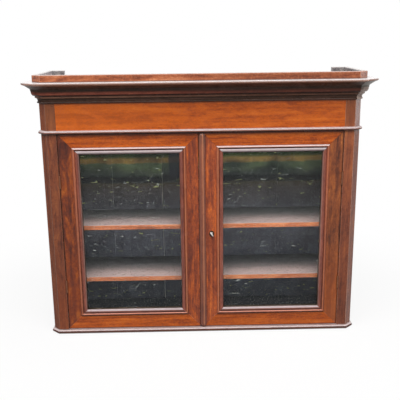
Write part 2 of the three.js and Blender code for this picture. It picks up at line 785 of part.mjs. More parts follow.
for (const side of [LEFT, RIGHT]) {
  const x = side * hingeX;
  for (const [level, z] of Object.entries(hingeHeights)) {
    const low = z - HINGE_LENGTH / 2;
    const high = z + HINGE_LENGTH / 2;
    const lowJoint = low + knuckleLength;
    const highJoint = high - knuckleLength;
    const leafStart = PIN_FORWARD + KNUCKLE_RADIUS + JOINT;
    const postLeaf = [side * (postInner + LEAF_THICK), side * postInner];
    const doorLeaf = [side * doorOuter, side * (doorOuter - LEAF_THICK)];

    const fixedLeaf = join(
      block(...postLeaf, leafStart, LEAF_DEPTH, low, high),
      block(...postLeaf, PIN_FORWARD, leafStart + JOINT, low, lowJoint - JOINT),
      block(...postLeaf, PIN_FORWARD, leafStart + JOINT, highJoint + JOINT, high),
      knuckle(x, low, lowJoint - JOINT, KNUCKLE_RADIUS),
      knuckle(x, highJoint + JOINT, high, KNUCKLE_RADIUS),
      knuckle(x, low, high, PIN_RADIUS),
    );
    add(`hinge_${sideName[side]}_${level}_post_leaf`, fixedLeaf, 'brass');

    const swingLeaf = cut(
      join(
        block(...doorLeaf, leafStart, LEAF_DEPTH, low, high),
        block(...doorLeaf, PIN_FORWARD, leafStart + JOINT, lowJoint, highJoint),
        knuckle(x, lowJoint, highJoint, KNUCKLE_RADIUS),
      ),
      knuckle(x, low - CUT_OVERRUN, high + CUT_OVERRUN, PIN_RADIUS + PIN_CLEAR),
    );
    add(`hinge_${sideName[side]}_${level}_door_leaf`, swingLeaf, 'brass');
  }
}

// Lock in the right door, with its key

const lockEdge = meetingEdge[RIGHT] + JOINT;
const lockCase = block(
  lockEdge, meetingEdge[RIGHT] + LOCK_CASE_WIDTH, lockFront, doorBack,
  lockZ - LOCK_CASE_HEIGHT / 2, lockZ + LOCK_CASE_HEIGHT / 2,
);
const boltTip = meetingEdge[RIGHT] + LOCK_BOLT_SHY;
const boltHalf = LOCK_BOLT_THICK / 2;
const channel = block(
  lockEdge - CUT_OVERRUN, boltTip + LOCK_BOLT_LENGTH + BOLT_CLEAR,
  boltMiddle - boltHalf - BOLT_CLEAR, boltMiddle + boltHalf + BOLT_CLEAR,
  lockZ - LOCK_BOLT_HEIGHT / 2 - BOLT_CLEAR, lockZ + LOCK_BOLT_HEIGHT / 2 + BOLT_CLEAR,
);
const keyEnd = lockFront + KEY_REACH;
const keyBore = prism(
  'y', ellipse(keyX, lockZ, keyHoleRadius, keyHoleRadius),
  lockFront - CUT_OVERRUN, keyEnd + KEY_CLEAR,
);
add('lock_case', cut(lockCase, channel, keyBore), 'brass');

const lockBolt = block(
  boltTip, boltTip + LOCK_BOLT_LENGTH, boltMiddle - boltHalf, boltMiddle + boltHalf,
  lockZ - LOCK_BOLT_HEIGHT / 2, lockZ + LOCK_BOLT_HEIGHT / 2,
);
add('lock_bolt', lockBolt, 'brass');

const plateOutline = ellipse(
  keyX, lockZ - (KEYHOLE_DROP - keyHoleRadius) / 2, ESCUTCHEON_WIDTH / 2, ESCUTCHEON_HEIGHT / 2,
  2 * ROUND_STEPS,
);
const escutcheon = cut(
  prism('y', plateOutline, doorFront - JOINT - ESCUTCHEON_THICK, doorFront - JOINT),
  prism('y', keyholeOutline(keyHoleRadius), -CUT_OVERRUN, doorFront + CUT_OVERRUN),
);
add('escutcheon', escutcheon, 'brass');

{
  const collarBack = doorFront - JOINT - ESCUTCHEON_THICK - KEY_CLEAR;
  const collarFront = collarBack - KEY_COLLAR_LENGTH;
  const bowBack = collarFront - KEY_NECK + BOW_RIM;
  const bowMiddle = bowBack - BOW_LENGTH / 2;
  const stem = prism('y', ellipse(0, 0, KEY_RADIUS, KEY_RADIUS), bowBack - BOW_RIM, keyEnd);
  const collar = prism(
    'y', ellipse(0, 0, KEY_COLLAR_RADIUS, KEY_COLLAR_RADIUS), collarFront, collarBack,
  );
  const bow = prism(
    'x',
    ellipse(bowMiddle, 0, BOW_LENGTH / 2, BOW_WIDTH / 2, 2 * ROUND_STEPS),
    -BOW_THICK / 2,
    BOW_THICK / 2,
  );
  const eye = prism(
    'x',
    ellipse(bowMiddle, 0, BOW_LENGTH / 2 - BOW_RIM, BOW_WIDTH / 2 - BOW_RIM, ROUND_STEPS),
    -BOW_THICK - CUT_OVERRUN,
    BOW_THICK + CUT_OVERRUN,
  );
  const key = cut(join(stem, collar, bow), eye);
  key.rotateY(THREE.MathUtils.degToRad(KEY_TILT_DEGREES));
  key.translate(keyX, 0, lockZ);
  add('key', key, 'steel');
}

// Slide bolts on the inside of the left door's meeting stile

for (const [level, up] of [['top', 1], ['bottom', -1]]) {
  const end = level === 'top' ? doorTop : doorBottom;
  const board = level === 'top' ? topBoardBottom : bottomBoardTop;
  const span = (a, b) => [Math.min(a, b), Math.max(a, b)];
  const plateEnd = end - up * PLATE_FROM_END;
  const plateStart = plateEnd - up * PLATE_LENGTH;
  const half = PLATE_WIDTH / 2;
  const tunnel = ROD_SIZE / 2 + ROD_CLEAR;
  const wall = tunnel + BRIDGE_WALL;
  const bridges = [plateEnd - up * BRIDGE_INSET, plateStart + up * (BRIDGE_INSET + BRIDGE_HEIGHT)];
  const plate = block(
    rodX - half, rodX + half, plateFront, plateBack, ...span(plateStart, plateEnd),
  );
  const loops = bridges.map((z) => block(
    rodX - wall, rodX + wall, plateBack - JOINT, rodBack + ROD_CLEAR + BRIDGE_WALL,
    ...span(z, z - up * BRIDGE_HEIGHT),
  ));
  const passage = block(
    rodX - tunnel, rodX + tunnel, rodFront - ROD_CLEAR, rodBack + ROD_CLEAR,
    ...span(plateStart - up * CUT_OVERRUN, plateEnd + up * CUT_OVERRUN),
  );
  add(`${level}_bolt_plate`, cut(join(plate, ...loops), passage), 'brass');

  const rodEnd = board - up * ROD_SHY;
  const rodStart = plateStart - up * ROD_TAIL;
  const rod = block(
    rodX - ROD_SIZE / 2, rodX + ROD_SIZE / 2, rodFront, rodBack, ...span(rodStart, rodEnd),
  );
  const knobZ = (plateStart + plateEnd) / 2 - up * ROD_THROW / 2;
  const knob = prism(
    'y', ellipse(rodX, knobZ, KNOB_RADIUS, KNOB_RADIUS), rodBack - JOINT, rodBack + KNOB_LENGTH,
  );
  add(`${level}_bolt`, join(rod, knob), 'brass');
}

export default part;
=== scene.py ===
# Dresses the glazed bookcase for a studio picture: fine meshes over the solids, polished
# mahogany, old glass, aged brass and a bright key.
import json
import math
import random

import bmesh
import bpy
from mathutils import Matrix, Vector


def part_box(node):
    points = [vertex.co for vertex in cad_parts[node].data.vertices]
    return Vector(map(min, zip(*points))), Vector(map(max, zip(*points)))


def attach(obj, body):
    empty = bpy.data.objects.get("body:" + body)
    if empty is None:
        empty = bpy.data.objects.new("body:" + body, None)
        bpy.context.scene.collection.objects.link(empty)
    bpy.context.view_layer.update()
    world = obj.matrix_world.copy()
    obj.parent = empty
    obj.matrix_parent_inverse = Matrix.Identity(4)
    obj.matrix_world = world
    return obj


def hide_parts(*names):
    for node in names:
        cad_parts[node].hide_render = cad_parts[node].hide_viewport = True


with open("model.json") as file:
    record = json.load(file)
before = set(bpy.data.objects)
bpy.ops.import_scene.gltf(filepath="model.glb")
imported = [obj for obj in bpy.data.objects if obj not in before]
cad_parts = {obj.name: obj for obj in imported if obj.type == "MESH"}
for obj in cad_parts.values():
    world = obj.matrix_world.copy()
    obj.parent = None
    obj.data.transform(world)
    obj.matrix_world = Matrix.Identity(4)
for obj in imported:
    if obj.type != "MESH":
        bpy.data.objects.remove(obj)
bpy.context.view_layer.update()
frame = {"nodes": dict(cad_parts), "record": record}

scene = bpy.context.scene
nodes = frame["nodes"]
record = frame["record"]
body_of = {n: b for b, members in record["behaviour"]["bodies"].items() for n in members}
SIDES = ("left", "right")


# Camera

IMAGE_PIXELS = 400
FOCAL_PIXELS = 686.5
PITCH, YAW, ROLL = 15.54, 0.96, 0.71      # degrees
CAMERA_PLACE = (-0.0594, -2.6994, 1.1591)
CAMERA_SHIFT = (0.0058, 0.061)
SENSOR_WIDTH = 36
NEAR, FAR = 0.05, 60


def make_camera():
    pitch, yaw, roll = (math.radians(a) for a in (PITCH, YAW, ROLL))
    forward = Vector((math.sin(yaw) * math.cos(pitch), math.cos(yaw) * math.cos(pitch),
                      -math.sin(pitch)))
    right = Vector((math.cos(yaw), -math.sin(yaw), 0))
    up = right.cross(forward)
    right, up = (right * math.cos(roll) - up * math.sin(roll),
                 right * math.sin(roll) + up * math.cos(roll))
    data = bpy.data.cameras.new("camera")
    data.sensor_width = SENSOR_WIDTH
    data.sensor_fit = "HORIZONTAL"
    data.lens = FOCAL_PIXELS / IMAGE_PIXELS * SENSOR_WIDTH
    data.shift_x, data.shift_y = CAMERA_SHIFT
    data.clip_start, data.clip_end = NEAR, FAR
    camera = bpy.data.objects.new("camera", data)
    turn = Matrix((right, up, -forward)).transposed().to_4x4()
    camera.matrix_world = Matrix.Translation(CAMERA_PLACE) @ turn
    scene.collection.objects.link(camera)
    scene.camera = camera


make_camera()


# Material building

class Graph:
    """A material's nodes, built with short calls. A value is a socket, a number or a tuple."""

    def __init__(self, name):
        self.mat = bpy.data.materials.new(name)
        self.mat.use_nodes = True
        self.tree = self.mat.node_tree
        self.tree.nodes.clear()
        self.output = self.tree.nodes.new("ShaderNodeOutputMaterial")
        self.coords = self.tree.nodes.new("ShaderNodeTexCoord").outputs["Object"]

    def put(self, socket, value):
        if value is None:
            return
        if isinstance(value, bpy.types.NodeSocket):
            self.tree.links.new(value, socket)
        else:
            socket.default_value = value

    def math(self, op, a, b=None):
        n = self.tree.nodes.new("ShaderNodeMath")
        n.operation = op
        for socket, value in zip(n.inputs, (a, b)):
            self.put(socket, value)
        return n.outputs[0]

    def times(self, a, b):
        return self.math("MULTIPLY", a, b)

    def plus(self, a, b):
        return self.math("ADD", a, b)

    def minus(self, a, b):
        return self.math("SUBTRACT", a, b)

    def split(self, vector):
        n = self.tree.nodes.new("ShaderNodeSeparateXYZ")
        self.put(n.inputs[0], vector)
        return n.outputs

    def join(self, x, y, z):
        n = self.tree.nodes.new("ShaderNodeCombineXYZ")
        for socket, value in zip(n.inputs, (x, y, z)):
            self.put(socket, value)
        return n.outputs[0]

    def shifted(self, vector, offset, scale=(1, 1, 1)):
        n = self.tree.nodes.new("ShaderNodeMapping")
        self.put(n.inputs["Vector"], vector)
        n.inputs["Location"].default_value = offset
        n.inputs["Scale"].default_value = scale
        return n.outputs[0]

    def noise(self, vector, scale=1.0, detail=2.0, rough=0.5, warp=0.0):
        n = self.tree.nodes.new("ShaderNodeTexNoise")
        self.put(n.inputs["Vector"], vector)
        n.inputs["Scale"].default_value = scale
        n.inputs["Detail"].default_value = detail
        n.inputs["Roughness"].default_value = rough
        n.inputs["Distortion"].default_value = warp
        return n.outputs["Fac"]

    def cells(self, vector, scale):
        n = self.tree.nodes.new("ShaderNodeTexVoronoi")
        self.put(n.inputs["Vector"], vector)
        n.inputs["Scale"].default_value = scale
        return n.outputs["Distance"]

    def span(self, value, low, high, to_low=0.0, to_high=1.0, straight=False):
        n = self.tree.nodes.new("ShaderNodeMapRange")
        n.interpolation_type = "LINEAR" if straight else "SMOOTHSTEP"
        self.put(n.inputs["Value"], value)
        n.inputs["From Min"].default_value = low
        n.inputs["From Max"].default_value = high
        n.inputs["To Min"].default_value = to_low
        n.inputs["To Max"].default_value = to_high
        return n.outputs["Result"]

    def ramp(self, value, stops):
        n = self.tree.nodes.new("ShaderNodeValToRGB")
        self.put(n.inputs[0], value)
        elements = n.color_ramp.elements
        elements[0].position, elements[0].color = stops[0][0], (*stops[0][1], 1)
        elements[1].position, elements[1].color = stops[-1][0], (*stops[-1][1], 1)
        for place, colour in stops[1:-1]:
            elements.new(place).color = (*colour, 1)
        return n.outputs[0]

    def put_colour(self, socket, value):
        if isinstance(value, tuple) and len(value) == 3:
            value = (*value, 1)
        self.put(socket, value)

    def blend(self, share, a, b, how="MIX"):
        n = self.tree.nodes.new("ShaderNodeMix")
        n.data_type = "RGBA"
        n.blend_type = how
        self.put(n.inputs[0], share)
        self.put_colour(n.inputs[6], a)
        self.put_colour(n.inputs[7], b)
        return n.outputs[2]

    def bump(self, height, distance, strength=1.0, normal=None):
        n = self.tree.nodes.new("ShaderNodeBump")
        n.inputs["Distance"].default_value = distance
        n.inputs["Strength"].default_value = strength
        self.put(n.inputs["Height"], height)
        self.put(n.inputs["Normal"], normal)
        return n.outputs[0]

    def shader(self, **values):
        n = self.tree.nodes.new("ShaderNodeBsdfPrincipled")
        for key, value in values.items():
            self.put_colour(n.inputs[key.replace("_", " ")], value)
        return n.outputs[0]

    def finish(self, shader):
        self.tree.links.new(shader, self.output.inputs["Surface"])
        return self.mat

    def facing_up(self, low, high):
        n = self.tree.nodes.new("ShaderNodeNewGeometry")
        return self.span(self.split(n.outputs["Normal"])[2], low, high)


def mix_shaders(tree, share, first, second):
    n = tree.nodes.new("ShaderNodeMixShader")
    for socket, value in zip(n.inputs, (share, first, second)):
        tree.links.new(value, socket)
    return n.outputs[0]


# Grain

# Its layers: scale along the grain and across it, detail, roughness and bend
FLAME = (9.0, 30.0, 3.0, 0.55, 1.1)
FIBRE = (14.0, 620.0, 3.0, 0.6, 0.0)
FLAKE = (70.0, 170.0, 2.0, 0.6, 0.4)
SPECK = (210.0, 330.0, 1.0, 0.5, 0.0)
PORES = (90.0, 2100.0, 1.0, 0.5, 0.0)
BACKING_STREAK = (2.0, 60.0, 3.0, 0.6, 0.0)
RIBBON_SHARE, FIBRE_SHARE, FLAKE_SHARE, SPECK_SHARE = 0.72, 0.12, 0.2, 0.14
PORE_SHARE = 0.42
PORE_EDGE = (0.60, 0.72)
SHADE_REACH = 0.22        # how far from its middle the grain meets the outer shades
SHADE_STOPS = (0.06, 0.3, 0.52, 0.74, 0.96)
GRAIN_SHIFT = 7.0         # how far one board's grain may lie from another's
DRIFT_SCALE = (3.0, 5.0)  # of the slow bends, along the grain and across it


def grain_vector(g, axis, seed, warp):
    """Object coordinates with the grain along the first place, bent a little as real grain is."""
    rng = random.Random(seed)
    offset = tuple(rng.uniform(-GRAIN_SHIFT, GRAIN_SHIFT) for _ in range(3))
    moved = g.shifted(g.coords, offset)
    x, y, z = g.split(moved)
    along, across, deep = {"x": (x, z, y), "y": (y, x, z), "z": (z, x, y)}[axis]
    place = g.join(g.times(along, DRIFT_SCALE[0]), g.times(across, DRIFT_SCALE[1]), deep)
    bend = g.times(g.minus(g.noise(place), 0.5), warp)
    return along, g.plus(across, bend), deep


def grain_layer(g, parts, along, across, detail, rough, bend):
    """Noise drawn out along the grain."""
    a, b, c = parts
    place = g.join(g.times(a, along), g.times(b, across), g.times(c, across))
    return g.noise(place, detail=detail, rough=rough, warp=bend)


# Deepest, dark, middle, bright and brightest shade of each wood
SHADES = {
    "orange": ((0.17, 0.026, 0.003), (0.34, 0.056, 0.004), (0.53, 0.100, 0.007),
               (0.64, 0.140, 0.012), (0.76, 0.20, 0.03)),
    "stile": ((0.055, 0.012, 0.008), (0.135, 0.026, 0.011), (0.245, 0.049, 0.015),
              (0.41, 0.086, 0.016), (0.62, 0.16, 0.022)),
    "olive": ((0.06, 0.017, 0.009), (0.145, 0.037, 0.014), (0.255, 0.068, 0.022),
              (0.38, 0.108, 0.028), (0.58, 0.18, 0.035)),
    "post": ((0.08, 0.023, 0.014), (0.16, 0.044, 0.023), (0.25, 0.069, 0.031),
             (0.34, 0.10, 0.038), (0.46, 0.15, 0.05)),
    "cornice": ((0.025, 0.013, 0.009), (0.045, 0.023, 0.015), (0.075, 0.038, 0.026),
                (0.11, 0.054, 0.038), (0.15, 0.078, 0.055)),
    "ovolo": ((0.08, 0.022, 0.014), (0.14, 0.036, 0.022), (0.215, 0.055, 0.032),
              (0.29, 0.08, 0.045), (0.38, 0.115, 0.065)),
    "lip": ((0.16, 0.075, 0.05), (0.26, 0.12, 0.08), (0.36, 0.17, 0.11),
            (0.46, 0.22, 0.14), (0.56, 0.28, 0.18)),
    "gallery": ((0.12, 0.032, 0.015), (0.24, 0.064, 0.029), (0.40, 0.112, 0.043),
                (0.52, 0.168, 0.07), (0.66, 0.27, 0.13)),
    "bead": ((0.12, 0.03, 0.018), (0.24, 0.062, 0.034), (0.38, 0.105, 0.05),
             (0.50, 0.15, 0.07), (0.62, 0.22, 0.10)),
    "mauve": ((0.07, 0.02, 0.014), (0.12, 0.032, 0.02), (0.19, 0.052, 0.032),
              (0.27, 0.08, 0.05), (0.38, 0.13, 0.085)),
    "edge": ((0.17, 0.04, 0.015), (0.28, 0.07, 0.025), (0.43, 0.12, 0.045),
             (0.56, 0.19, 0.08), (0.72, 0.34, 0.2)),
    "shaded_blue": ((0.012, 0.014, 0.022), (0.026, 0.029, 0.043), (0.044, 0.049, 0.072),
              (0.08, 0.086, 0.115), (0.42, 0.43, 0.48)),
    "pale_lit": ((0.13, 0.095, 0.08), (0.20, 0.15, 0.13), (0.29, 0.225, 0.195),
              (0.36, 0.285, 0.245), (0.46, 0.37, 0.33)),
    "deal": ((0.055, 0.036, 0.022), (0.11, 0.074, 0.045), (0.18, 0.125, 0.078),
             (0.26, 0.185, 0.12), (0.36, 0.27, 0.18)),
    "tan": ((0.05, 0.045, 0.035), (0.09, 0.08, 0.06), (0.14, 0.125, 0.095),
            (0.22, 0.195, 0.15), (0.34, 0.31, 0.24)),
    "slate": ((0.06, 0.06, 0.065), (0.11, 0.11, 0.12), (0.18, 0.175, 0.18),
              (0.27, 0.26, 0.25), (0.42, 0.38, 0.35)),
    "inside": ((0.02, 0.014, 0.011), (0.035, 0.024, 0.018), (0.055, 0.037, 0.027),
               (0.08, 0.052, 0.036), (0.12, 0.075, 0.05)),
}
# Painted highlights, with some dust and wear, on tops: share, colour, and the lift of the surface
# where they begin and are full
LIP_TOP = (1.0, (0.71, 0.675, 0.68), -0.2, 0.3)
WHITE_TOP = (1.0, (0.46, 0.37, 0.365), 0.05, 0.4)
RAIL_TOP = (1.0, (0.62, 0.47, 0.45), -0.05, 0.3)
COOL_TOP = (1.0, (0.47, 0.385, 0.39), -0.85, -0.3)
SILL_TOP = (1.0, (0.45, 0.36, 0.365), 0.05, 0.5)
WARM_TOP = (0.95, (0.74, 0.30, 0.21), 0.1, 0.55)
LEDGE_TOP = (1.0, (0.47, 0.38, 0.38), 0.3, 0.7)
RETURN_TOP = (1.0, (0.60, 0.56, 0.54), 0.3, 0.7)
NOSE_TOP = (1.0, (0.58, 0.475, 0.47), 0.5, 0.75)
DULL_TOP = (0.8, (0.42, 0.27, 0.23), 0.3, 0.7)
# Painted shade on undersides, and a painted reflection under the base bead: share, colour and,
# where it isn't the usual one, that same lift
UNDER_SHADE = (0.9, (0.014, 0.006, 0.005))
UNDER_REFLECTION = (0.9, (0.42, 0.29, 0.26), -0.2, -0.5)
BRIGHTEST = 0.9           # no shade of a wood goes above this
WISP_SCALE = (9, 34, 9)   # of the wandering edge of a ramp
WANDER = 0.4              # how far that edge wanders, as a share of the ramp
GRIT_SCALE = (1, 0.35, 1)  # of the mottle, drawn out from front to back
LINE_CORE = 0.3           # the part of a line's half width that is fully painted


def grain_colour(g, parts, shades, figure, streak, calm):
    """The colour of the grain, with its fibre and its pores for the relief."""
    fibre = grain_layer(g, parts, *FIBRE)
    pore = g.span(grain_layer(g, parts, *PORES), *PORE_EDGE)
    layers = (
        (grain_layer(g, parts, *FLAME), figure),
        (grain_layer(g, parts, 1.6, streak, 4.0, 0.6, 0.2), RIBBON_SHARE * (1 - figure)),
        (fibre, FIBRE_SHARE),
        (grain_layer(g, parts, *FLAKE), FLAKE_SHARE),
        (grain_layer(g, parts, *SPECK), SPECK_SHARE),
    )
    mixed = 0.0
    for noise, share in layers:
        mixed = g.plus(mixed, g.times(noise, share))
    middle = 0.5 * sum(share for _, share in layers)
    reach = SHADE_REACH * calm
    value = g.span(mixed, middle - reach, middle + reach, straight=True)
    colour = g.ramp(value, list(zip(SHADE_STOPS, shades)))
    return g.blend(g.times(pore, PORE_SHARE), colour, shades[0]), fibre, pore


def paint_ramp(g, colour, seed, place, start, end, share, paint):
    """Paint that sets in along an axis, with a wandering edge."""
    along = g.split(g.coords)["xyz".index(place)]
    wisp = g.noise(g.shifted(g.coords, (seed, 1, 1), WISP_SCALE), detail=3.0, rough=0.6)
    drift = g.times(g.minus(wisp, 0.5), WANDER * abs(end - start))
    edge = g.span(g.plus(along, drift), start, end)
    return g.blend(g.times(edge, share), colour, paint)


def paint_line(g, colour, seed, place, middle, half, share, paint):
    """A rubbed line of paint across an axis."""
    away = g.math("ABSOLUTE", g.minus(g.split(g.coords)["xyz".index(place)], middle))
    rub = g.noise(g.shifted(g.coords, (seed, 3, 7)), scale=60.0, detail=3.0, rough=0.6)
    patch = g.times(g.span(away, half, LINE_CORE * half, 0.0, share),
                    g.span(rub, 0.25, 0.5, 0.6, 1.0))
    return g.blend(patch, colour, paint)


def paint_mottle(g, colour, seed, share, dark, pale):
    """Fine dark and pale grit."""
    grit = g.noise(g.shifted(g.coords, (seed, 5, 3), GRIT_SCALE), scale=190.0, rough=0.6)
    colour = g.blend(g.span(grit, 0.30, 0.47, share, 0.0), colour, dark)
    return g.blend(g.span(grit, 0.55, 0.70, 0.0, share), colour, pale)


def paint_under(g, colour, share, paint, low=-0.05, high=-0.55):
    """Painted shade, or under the base bead a painted reflection, on the faces that look down."""
    return g.blend(g.times(g.facing_up(low, high), share), colour, paint)


def paint_top(g, colour, seed, share, paint, low, high):
    """A patchy painted highlight, with some dust and wear, on the faces that look up."""
    patchy = g.noise(g.shifted(g.coords, (seed * 0.31, 2, 5)), scale=90.0, detail=3.0, rough=0.6)
    worn_and_lit = g.times(g.facing_up(low, high), g.span(patchy, 0.3, 0.55, 0.85, 1.0))
    return g.blend(g.times(worn_and_lit, share), colour, paint)


SMOOTHER, ROUGHER, PORE_ROUGH = 0.06, 0.12, 0.18     # what smears and pores do to the polish
FIBRE_RISE, PORE_SINK = 0.5, -0.8
RELIEF_DEPTH, SKIN_DEPTH, COAT_DEPTH = 0.00012, 0.0009, 0.0007


def wood(name, tone, axis, seed, level=1.0, figure=0.5, gloss=0.2, rough=0.24, tops=None,
         unders=None, warp=0.03, specular=0.2, ramps=(), lines=(), streak=75.0, calm=1.0,
         mottle=0.0):
    """Polished wood. tops paint a patchy highlight, with some dust and wear, on the faces that
    look up, and unders painted shade, or under the base bead a painted reflection, on those
    that look down; ramps paint a share along an axis, (axis, start, end, share, colour), and
    lines a painted highlight on a moulding's crest or painted shade in its hollow, (axis,
    middle, half width, share, colour)."""
    g = Graph(name)
    parts = grain_vector(g, axis, seed, warp)
    shades = [tuple(min(c * level, BRIGHTEST) for c in shade) for shade in SHADES[tone]]
    colour, fibre, pore = grain_colour(g, parts, shades, figure, streak, calm)
    for ramp in ramps:
        colour = paint_ramp(g, colour, seed, *ramp)
    if mottle > 0:
        colour = paint_mottle(g, colour, seed, mottle, shades[0], shades[-1])
    if unders:
        colour = paint_under(g, colour, *unders)
    if tops:
        colour = paint_top(g, colour, seed, *tops)
    for line in lines:
        colour = paint_line(g, colour, seed, *line)
    smear = g.noise(g.shifted(g.coords, (3, seed * 0.17, 1)), scale=22.0, detail=3.0, rough=0.55,
                    warp=0.6)
    roughness = g.plus(g.span(smear, 0.3, 0.75, rough - SMOOTHER, rough + ROUGHER),
                       g.times(pore, PORE_ROUGH))
    relief = g.plus(g.times(fibre, FIBRE_RISE), g.times(pore, PORE_SINK))
    skin = g.noise(g.shifted(g.coords, (seed * 0.7, 0, 0)), scale=55.0)
    pitted = g.bump(relief, distance=RELIEF_DEPTH, strength=0.5)
    normal = g.bump(skin, distance=SKIN_DEPTH, strength=0.22, normal=pitted)
    return g.finish(g.shader(
        Base_Color=colour, Roughness=roughness, Specular_IOR_Level=specular, Normal=normal,
        Coat_Weight=gloss, Coat_Roughness=0.09, Coat_IOR=1.5,
        Coat_Normal=g.bump(skin, distance=COAT_DEPTH, strength=0.25),
    ))


# Metals

BRASS_TONES = [
    (0.3, (0.035, 0.024, 0.014)), (0.47, (0.12, 0.08, 0.035)), (0.62, (0.26, 0.18, 0.08)),
    (0.8, (0.42, 0.30, 0.14)),
]
BRASS_DIRT = (0.03, 0.02, 0.013)
HINGE_POLISH_SHADE = (0.20, 0.065, 0.03)      # polish that has run over the hinges, dark enough to stand as painted shade in the gap beside the post
BRIGHT_STEEL, STAINED_STEEL = (0.78, 0.77, 0.75), (0.38, 0.33, 0.28)


def brass(name, seed, dark, dirt=BRASS_DIRT, metal=0.85):
    g = Graph(name)
    blotch = g.noise(g.shifted(g.coords, (seed, 1, 2)), scale=160.0, detail=4.0, rough=0.6, warp=0.5)
    fine = g.noise(g.shifted(g.coords, (seed, 4, 2)), scale=900.0)
    colour = g.ramp(g.plus(g.times(blotch, 0.8), g.times(fine, 0.2)), BRASS_TONES)
    return g.finish(g.shader(
        Base_Color=g.blend(dark, colour, dirt), Metallic=metal,
        Roughness=g.span(blotch, 0.3, 0.7, 0.52, 0.3),
        Normal=g.bump(fine, distance=0.0001, strength=0.4),
    ))


def steel(name, seed):
    g = Graph(name)
    scratch = g.noise(g.shifted(g.coords, (seed, 0, 0), (300, 60, 900)), detail=3.0, rough=0.6)
    blotch = g.noise(g.shifted(g.coords, (seed, 4, 2)), scale=240.0, detail=3.0, rough=0.6)
    return g.finish(g.shader(
        Base_Color=g.blend(g.span(blotch, 0.45, 0.75, 0.0, 0.5), BRIGHT_STEEL, STAINED_STEEL),
        Metallic=0.9, Roughness=g.span(scratch, 0.3, 0.7, 0.26, 0.42),
        Normal=g.bump(scratch, distance=0.00006, strength=0.4),
    ))


# Glass

GLASS_TINT = (0.93, 0.97, 0.96)
GLASS_SHADOW = (0.9, 0.94, 0.93, 1)
DUST_GREY, BIT_GREEN = (0.42, 0.45, 0.54), (0.42, 0.47, 0.17)
BIT_SCALE = (32, 32, 160)             # the bits lie flat, five times as long as they are high
BIT_EDGE, DOT_EDGE = (0.685, 0.73), (0.18, 0.11)
BIT_SHARE = 0.2
DOT_SHARES = (0.50, 0.60, 0.26, 0.12)   # between two heights, from one share to the other


def pane(name, seed):
    """Old glass, a little wavy, with a thin film of dust, small dots and flat bits."""
    g = Graph(name)
    wave = g.noise(g.shifted(g.coords, (seed, 0, 0), (5.0, 5.0, 3.0)))
    film = g.noise(g.shifted(g.coords, (seed, 7, 1)), scale=9.0, detail=4.0, rough=0.6)
    fine = g.noise(g.shifted(g.coords, (seed, 5, 3)), scale=210.0, detail=1.0)
    coarse = g.noise(g.shifted(g.coords, (seed, 2, 6)), scale=85.0, rough=0.6)
    flat = g.noise(g.shifted(g.coords, (seed, 3, 1), BIT_SCALE), warp=0.5)
    bits = g.span(flat, *BIT_EDGE)
    dots = g.times(g.span(g.cells(g.shifted(g.coords, (seed, 1, 4)), 100.0), *DOT_EDGE),
                   g.span(g.split(g.coords)[2], *DOT_SHARES))
    dust = g.plus(g.span(film, 0.4, 0.75, 0.0, 0.0015),
                  g.plus(g.span(fine, 0.62, 0.74, 0.0, 0.012, straight=True),
                         g.span(coarse, 0.62, 0.75, 0.0, 0.008, straight=True)))
    share = g.math("MAXIMUM", g.math("MAXIMUM", dust, dots), g.times(bits, BIT_SHARE))
    grey = g.blend(bits, DUST_GREY, BIT_GREEN)
    glass = g.shader(
        Base_Color=g.blend(share, GLASS_TINT, grey), Transmission_Weight=g.minus(1.0, share),
        IOR=1.2, Roughness=0.0, Normal=g.bump(wave, distance=0.002, strength=0.2),
    )
    rays = g.tree.nodes.new("ShaderNodeLightPath").outputs
    clear = g.tree.nodes.new("ShaderNodeBsdfTransparent")
    clear.inputs[0].default_value = GLASS_SHADOW
    return g.finish(mix_shaders(g.tree, rays["Is Shadow Ray"], glass, clear.outputs[0]))


# Backing

# Tones of the back boards inside, by height, painted reflection and painted shade: cool and
# blotched low down, then a dark band, greenish over it, and a warm band under the dark head
BACK_TONES = [
    (0.05, (0.108, 0.115, 0.155)), (0.20, (0.108, 0.116, 0.158)), (0.25, (0.135, 0.136, 0.178)),
    (0.40, (0.175, 0.172, 0.215)), (0.46, (0.130, 0.119, 0.138)), (0.520, (0.118, 0.099, 0.096)),
    (0.545, (0.122, 0.098, 0.072)), (0.553, (0.03, 0.032, 0.034)), (0.572, (0.02, 0.023, 0.025)),
    (0.585, (0.085, 0.103, 0.086)), (0.605, (0.095, 0.124, 0.078)), (0.632, (0.14, 0.185, 0.105)),
    (0.637, (0.38, 0.24, 0.085)), (0.653, (0.40, 0.25, 0.08)), (0.661, (0.10, 0.12, 0.045)),
    (0.672, (0.022, 0.045, 0.016)), (0.76, (0.02, 0.03, 0.015)),
]
BACK_HEIGHT = 0.8
# Painted reflection multiplied into those tones high up: dark, plain and bright patches
PATCH_TONES = [(0.36, (0.42, 0.45, 0.55)), (0.47, (0.95, 0.95, 0.95)), (0.60, (1.5, 1.5, 1.25))]
HEAD_Z = (0.55, 0.60)      # the patches and the painted shadow set in between these heights
SPECKLED_Z = (0.53, 0.58)  # and the pale specks thin out between these
SCUFFED_Z = (0.515, 0.54)  # a band with more scuffs sets in here
UNSCUFFED_Z = (0.575, 0.555)   # and ends here, from the top down
SCUFF_LIFT = 0.045         # what that band adds to them
SCUFF_EDGE = (0.685, 0.715)
SHADOW_EDGE = 0.01
SHADOW_SHARE = 0.85
SHADOW_COLOUR = (0.028, 0.028, 0.045)
GRIT = (0.012, 0.014, 0.02)
MOTE = (0.58, 0.60, 0.68)
SCUFF = (0.64, 0.66, 0.27)


